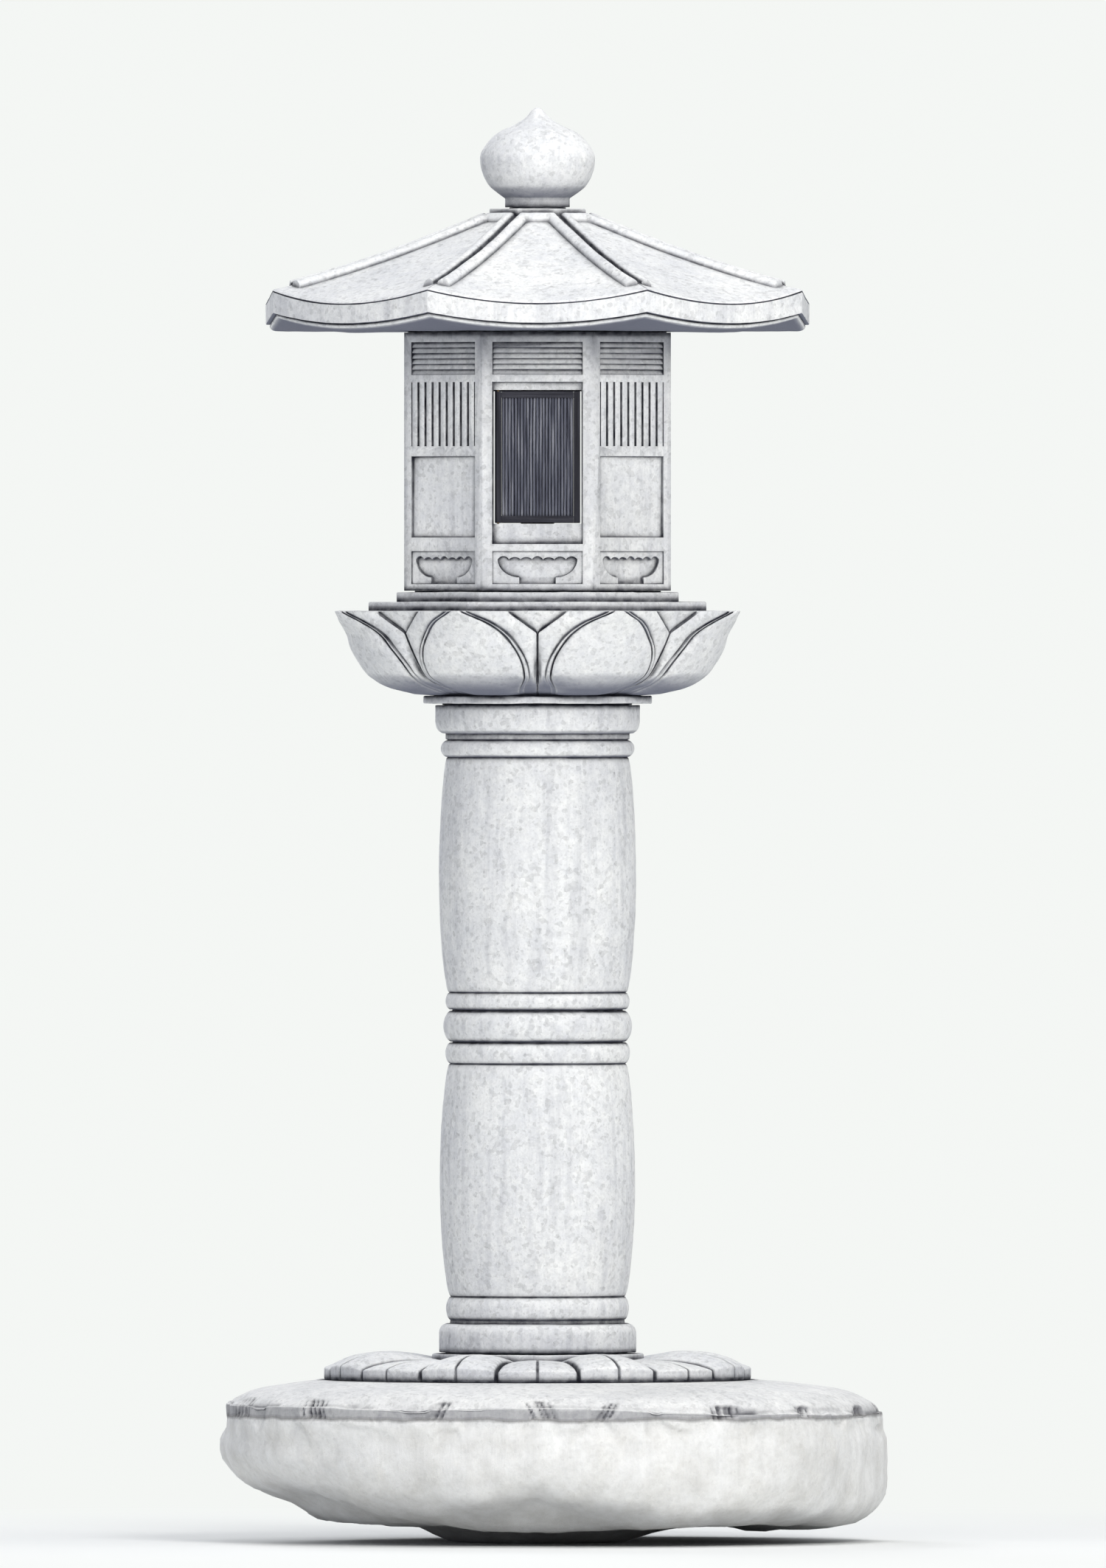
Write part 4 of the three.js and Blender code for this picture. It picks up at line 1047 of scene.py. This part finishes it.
def roof_column(side, hip_offset, share):
    """(out, aside, height) points of one column of a face: seat, underside, eave, face and cap."""
    def aside_at(out):
        return share * max(0.0, out * tan(HALF_FACE) - hip_offset / cos(HALF_FACE))

    eave = SIDE_RADIUS
    for _ in range(10):
        eave = eave_distance(aside_at(eave))
    eave_top = roof_height(eave, aside_at(eave))
    fascia = FASCIA + (CORNER_FASCIA - FASCIA) * towards_hip(eave, aside_at(eave)) ** 2
    groove = eave_top - fascia
    band_foot = groove - UNDER_BAND
    band_out = eave - UNDER_BAND_INSET
    inner = band_out - 2 * UNDER_BAND_INSET
    from_hip = hip_offset - ROLL_VALLEY if share == 1 else ROLL_WIDTH
    # the hip itself is a fine cut line between its two rolls
    line = HIP_LINE_DEPTH * exp(-(hip_offset / HIP_LINE_WIDTH) ** 2) if share == 1 else 0.0

    def on_face(out, with_roll=True):
        roll = roll_height(min(from_hip, out - ROLL_FOOT)) if with_roll else 0.0
        return out, roof_height(out, aside_at(out)) + roll - line

    # (out, height): the flat seat, then the hollow underside
    places = [(SEAT_BOSS * 0.5, ROOF_SEAT), (SEAT_BOSS, ROOF_SEAT)]
    for t in np.linspace(0, 1, 12)[1:]:
        places.append((SEAT_BOSS + (inner - SEAT_BOSS) * t, ROOF_SEAT + (band_foot - ROOF_SEAT) * t ** 1.2))
    # under-band: a quarter round at its foot, upright above, then a shadow groove below the fascia
    for turn in np.linspace(0, pi / 2, 7)[1:]:
        places.append((inner + (band_out - inner) * sin(turn),
                       band_foot + BAND_ROUNDING * (1 - cos(turn))))
    places += [(band_out, groove - 2.5), (band_out - 3, groove - 1.5), (band_out - 3, groove - 0.2),
               (eave - 2, groove), (eave - 0.6, groove + 0.6)]
    places += [(eave, groove + part * fascia) for part in np.linspace(0.06, 0.84, 7)]
    # a fine margin line cut just under the upper arris
    places += [(eave, eave_top - 5.2), (eave - 2.6, eave_top - 3.8), (eave - 0.1, eave_top - 2.2),
               (eave - 0.8, eave_top - 0.7)]
    # up the face: a bare margin, the blunt end of the roll, the roll, its foot at the cap
    places += [on_face(eave - 3 - t * (ROLL_END_MARGIN - 4), False) for t in np.linspace(0, 1, 7)]
    places += [on_face(out) for out in np.linspace(eave - ROLL_END_MARGIN, ROLL_FOOT + ROLL_WIDTH, 44)[:-1]]
    places += [on_face(ROLL_FOOT + part * ROLL_WIDTH) for part in reversed(ROLL_STOPS)]
    # the cap, its edges slightly rounded
    places += [(CAP_APOTHEM + 0.3, CAP_BOTTOM - line), (CAP_APOTHEM, CAP_BOTTOM + 1),
               (CAP_APOTHEM, CAP_TOP - 2), (CAP_APOTHEM - 0.6, CAP_TOP - 0.6),
               (CAP_APOTHEM - 2, CAP_TOP), (CAP_APOTHEM * 0.6, CAP_TOP)]
    return [(out, side * aside_at(out), height) for out, height in places]


def make_roof():
    # (distance from the hip, share of the way to it) of the columns across half a face
    half = [(offset, 1) for offset in (0, 0.8, 1.8, 3)]
    half += [(ROLL_VALLEY + part * ROLL_WIDTH, 1) for part in ROLL_STOPS]
    half += [(ROLL_VALLEY + ROLL_WIDTH, share) for share in np.linspace(1, 0, 15)[1:]]
    columns = [roof_column(-1, *place) for place in half]
    columns += [roof_column(1, *place) for place in half[-2:0:-1]]
    columns = np.array(columns) * MM
    faces = []
    for face in range(8):
        out, across = face_axes(face)
        level = columns[:, :, :1] * out + columns[:, :, 1:2] * across
        faces.append(np.concatenate([level, GROUND + columns[:, :, 2:]], 2))
    obj = ring_object("roof_stone", np.concatenate(faces).transpose(1, 0, 2))
    hollow = [(150, ROOF_SEAT - 1), (120, ROOF_SEAT + 40), (60, ROOF_SEAT + 56)]
    combine(obj, turned_object("soot_hollow", hollow, 64))
    combine(obj, turned_object("jewel_socket", [(33, CAP_TOP - 52), (33, CAP_TOP + 1)], 48))
    finish_stone(obj, "roof", "roof", 81, 0.8, 0.3)


# ---- jewel


def make_jewel():
    foot = foot_of("jewel")
    tip = top_of("jewel")
    bottom = top_of("jewel_bedding") + BEDDING_GAP
    neck = [(0, foot, 0), (32, foot, 2), (32, bottom, 0), (60, bottom, 1.5), (60, 2254.5, 1), (61, 2256, 0)]
    # the onion, widest a little above its middle, with a small nipple on top
    onion = [(61, 2256), (76, 2266.5), (88, 2276.5), (96, 2288), (101.5, 2300), (105.5, 2315),
             (106.6, 2329), (104, 2341), (95, 2355.5), (82, 2370.5), (65, 2382), (50, 2388), (37, 2395),
             (25, 2403), (18, 2409), (13.5, 2415), (9, 2420), (4, 2423.2), (0, tip)]
    outline = round_corners(neck)
    outline += list(smooth_path(onion, np.linspace(0, 1, 90)[1:-1]))
    outline.append((0.3, tip))
    obj = turned_object("jewel_stone", refine(outline, 8), 112)
    finish_stone(obj, "jewel", "jewel", 91, 0.6, 0.3)


# ---- lead bedding


def make_lead_ring(node, body, inner, outer):
    """A flat ring of sheet lead with a slightly squeezed, uneven edge."""
    bottom, top = (corner.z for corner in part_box(node))
    angles = turns(180)
    uneven = 1.2 * MM * noise(level_ring(angles, 1, 0), 0.11, len(node))
    upper_edge = outer - 0.8 * MM
    section = [(inner, 0), (upper_edge, 0), (outer, 0.35), (outer, 0.65), (upper_edge, 1), (inner, 1)]
    vertices = []
    for radius, part in section:
        radii = radius + uneven if radius > inner else radius
        vertices += list(level_ring(angles, radii, bottom + part * (top - bottom)))
    rows = [*range(len(section)), 0]
    obj = new_object(node + "_ring", vertices, quads_between(rows, len(angles)))
    finish_piece(obj, node, body, LEAD)


# ---- lamp


def make_lamp():
    floor = foot_of("lamp_stand")
    stand = [(0, 0, 0), (50, 0, 1.5), (50, 4, 1.5), (44, 7, 2), (38, 13, 4), (42, 18, 2), (42, 22, 1),
             (0, 22, 0)]
    outline = refine(round_corners([(r, floor + z, c) for r, z, c in stand], 6), 4)
    stand_obj = turned_object("lamp_stand_turned", outline, 72)
    finish_piece(stand_obj, "lamp_stand", "stand", IRON)

    base = foot_of("oil_dish")
    dish = [(0, 0, 0), (28, 0, 2), (50, 15.5, 1), (48.5, 16, 1), (46, 15.6, 1), (25, 4.2, 8), (0, 4, 0)]
    outline = refine(round_corners([(r, base + z, c) for r, z, c in dish], 5), 3)
    dish_obj = turned_object("oil_dish_glazed", outline, 96)
    finish_piece(dish_obj, "oil_dish", "stand", GLAZE)


def make_wick():
    """Three twisted strands lying in the dish and leaning over its rim."""
    dish_foot = GROUND + foot_of("oil_dish") * MM
    # (y, height above the dish's foot) of the cord's middle
    path = smooth_path([(14, 8), (-18, 8), (-38, 18), (-52, 25)], np.linspace(0, 1, 60))
    strand_radius = 1.05
    twist_per_step = 0.55
    around = 8
    vertices = []
    faces = []
    for strand, first_twist in enumerate(turns(3)):
        for i, (y, z) in enumerate(path):
            twist = first_twist + i * twist_per_step
            for a in turns(around):
                x = strand_radius * (cos(twist) + cos(a))
                rise = strand_radius * (sin(twist) + sin(a))
                vertices.append((x * MM, y * MM, dish_foot + (z + rise) * MM))
        rows = range(strand * len(path), (strand + 1) * len(path))
        faces += quads_between(rows, around)
        faces.append(tuple(rows[0] * around + k for k in reversed(range(around))))
        faces.append(tuple(rows[-1] * around + k for k in range(around)))
    obj = new_object("wick_cord", vertices, faces)
    finish_piece(obj, "wick", "stand", CORD)


# ---- lattice screens and pivots


def dress_screens():
    """The wooden and bronze CAD nodes keep their shape, with softened edges."""
    for name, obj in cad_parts.items():
        width = 0.4 * MM
        if name.endswith("lattice"):
            material = BAR_WOOD
        elif name.endswith("stile"):
            material = FRAME_WOOD[2]
            width = 0.9 * MM
        elif name.endswith("rail"):
            material = FRAME_WOOD[0 if name.startswith(("front", "back")) else 1]
            width = 0.9 * MM
        elif "pivot" in name:
            material = BRONZE
        else:
            continue
        obj.data.materials.clear()
        obj.data.materials.append(material)
        soften_edges(obj, width)


# ---- stage, light and camera

# name: (place, size, power in watts, colour)
LIGHTS = {
    "key": ((2.4, -7.2, 3.9), 2.4, 355, (1.0, 0.985, 0.96)),
    "overhead": ((0.8, -1.6, 7.2), 3.5, 140, (1.0, 1.0, 1.0)),
    "left_fill": ((-4.6, -6.0, 2.2), 3.0, 45, (0.93, 0.95, 1.0)),
    "back": ((-2.5, 6.0, 4.0), 3.0, 200, (0.96, 0.97, 1.0)),
}
LIT_POINT = Vector((0, 0, 1.4))


def make_stage():
    """Pale floor that fades into the backdrop away from the lantern."""
    n = material_nodes("pale_floor")
    n.finish(n.mix(n.noise(0.8, 3), (0.80, 0.81, 0.80), (0.83, 0.84, 0.83)), 0.9, specular=0.1)
    length = n.new("ShaderNodeVectorMath", {0: n.place}, operation="LENGTH")
    fade = n.ramp(n.math("DIVIDE", length.outputs["Value"], 3.2), [(0.28, 0), (1, 1)])
    # the glow is for the camera only: it lights nothing
    glow = n.new("ShaderNodeEmission", {"Color": BACKDROP})
    lit = n.tree.nodes["Principled BSDF"].outputs["BSDF"]
    shader = n.choose(n.times(fade, n.camera_ray()), lit, glow.outputs[0])
    n.feed(shader, n.tree.nodes["Material Output"].inputs["Surface"])
    reach = 200
    corners = [(-reach, -reach, 0), (reach, -reach, 0), (reach, reach, 0), (-reach, reach, 0)]
    floor = new_object("floor", corners, [(0, 1, 2, 3)])
    floor.data.materials.append(n.owner)


def make_world():
    """Fill light: pale from above and the right, bluer and weaker from below and the left."""
    world = bpy.data.worlds.new("studio")
    bpy.context.scene.world = world
    n = Nodes(world)
    brightest = Vector((0.5, -0.15, 0.85)).normalized()
    towards = n.new("ShaderNodeVectorMath", {0: n.direction, 1: brightest}, operation="DOT_PRODUCT")
    tone = n.new("ShaderNodeMapRange", {"Value": towards.outputs["Value"], "From Min": -1})
    sky = n.mix(tone.outputs["Result"], (0.27, 0.285, 0.35), (0.60, 0.61, 0.62))
    fill = n.tree.nodes["Background"]
    n.feed(sky, fill.inputs["Color"])
    seen = n.new("ShaderNodeBackground", {"Color": BACKDROP})
    shader = n.choose(n.camera_ray(), fill.outputs[0], seen.outputs[0])
    n.feed(shader, n.tree.nodes["World Output"].inputs["Surface"])


def aim(obj, place, direction):
    """Puts a light or camera at a place, looking in a direction."""
    obj.location = place
    obj.rotation_mode = "QUATERNION"
    obj.rotation_quaternion = direction.to_track_quat("-Z", "Y")


def make_lights():
    for name, (place, size, power, colour) in LIGHTS.items():
        light = bpy.data.lights.new(name, "AREA")
        light.size = size
        light.energy = power
        light.color = colour
        aim(link_object(name, light), place, LIT_POINT - Vector(place))


def make_camera():
    """Very long lens, just above level: nearly an elevation drawing."""
    distance = 80.0
    elevation = radians(0.2)
    frame_height = 2.908
    target = Vector((0.0287, 0, GROUND + 1.1695))
    camera = bpy.data.cameras.new("camera")
    camera.sensor_width = 36
    camera.lens = camera.sensor_width * distance / frame_height
    camera.clip_end = 400
    back = Vector((0, -cos(elevation), sin(elevation)))
    obj = link_object("camera", camera)
    aim(obj, target + back * distance, -back)
    bpy.context.scene.camera = obj


# ---- build

make_foundation_stone()
make_lotus_base()
make_lead_ring("shaft_foot_bedding", "stand", 0.075, 0.168)
make_shaft()
make_lead_ring("shaft_head_bedding", "stand", 0.075, 0.176)
make_lotus_platform()
make_lead_ring("chamber_bedding", "stand", 0.130, 0.228)
make_fire_chamber()
make_lead_ring("roof_bedding", "stand", 0.214, 0.240)
make_roof()
make_lead_ring("jewel_bedding", "roof", 0.036, 0.052)
make_jewel()
make_lamp()
make_wick()
dress_screens()
make_stage()
make_world()
make_lights()
make_camera()
bpy.context.scene.view_settings.view_transform = "Standard"
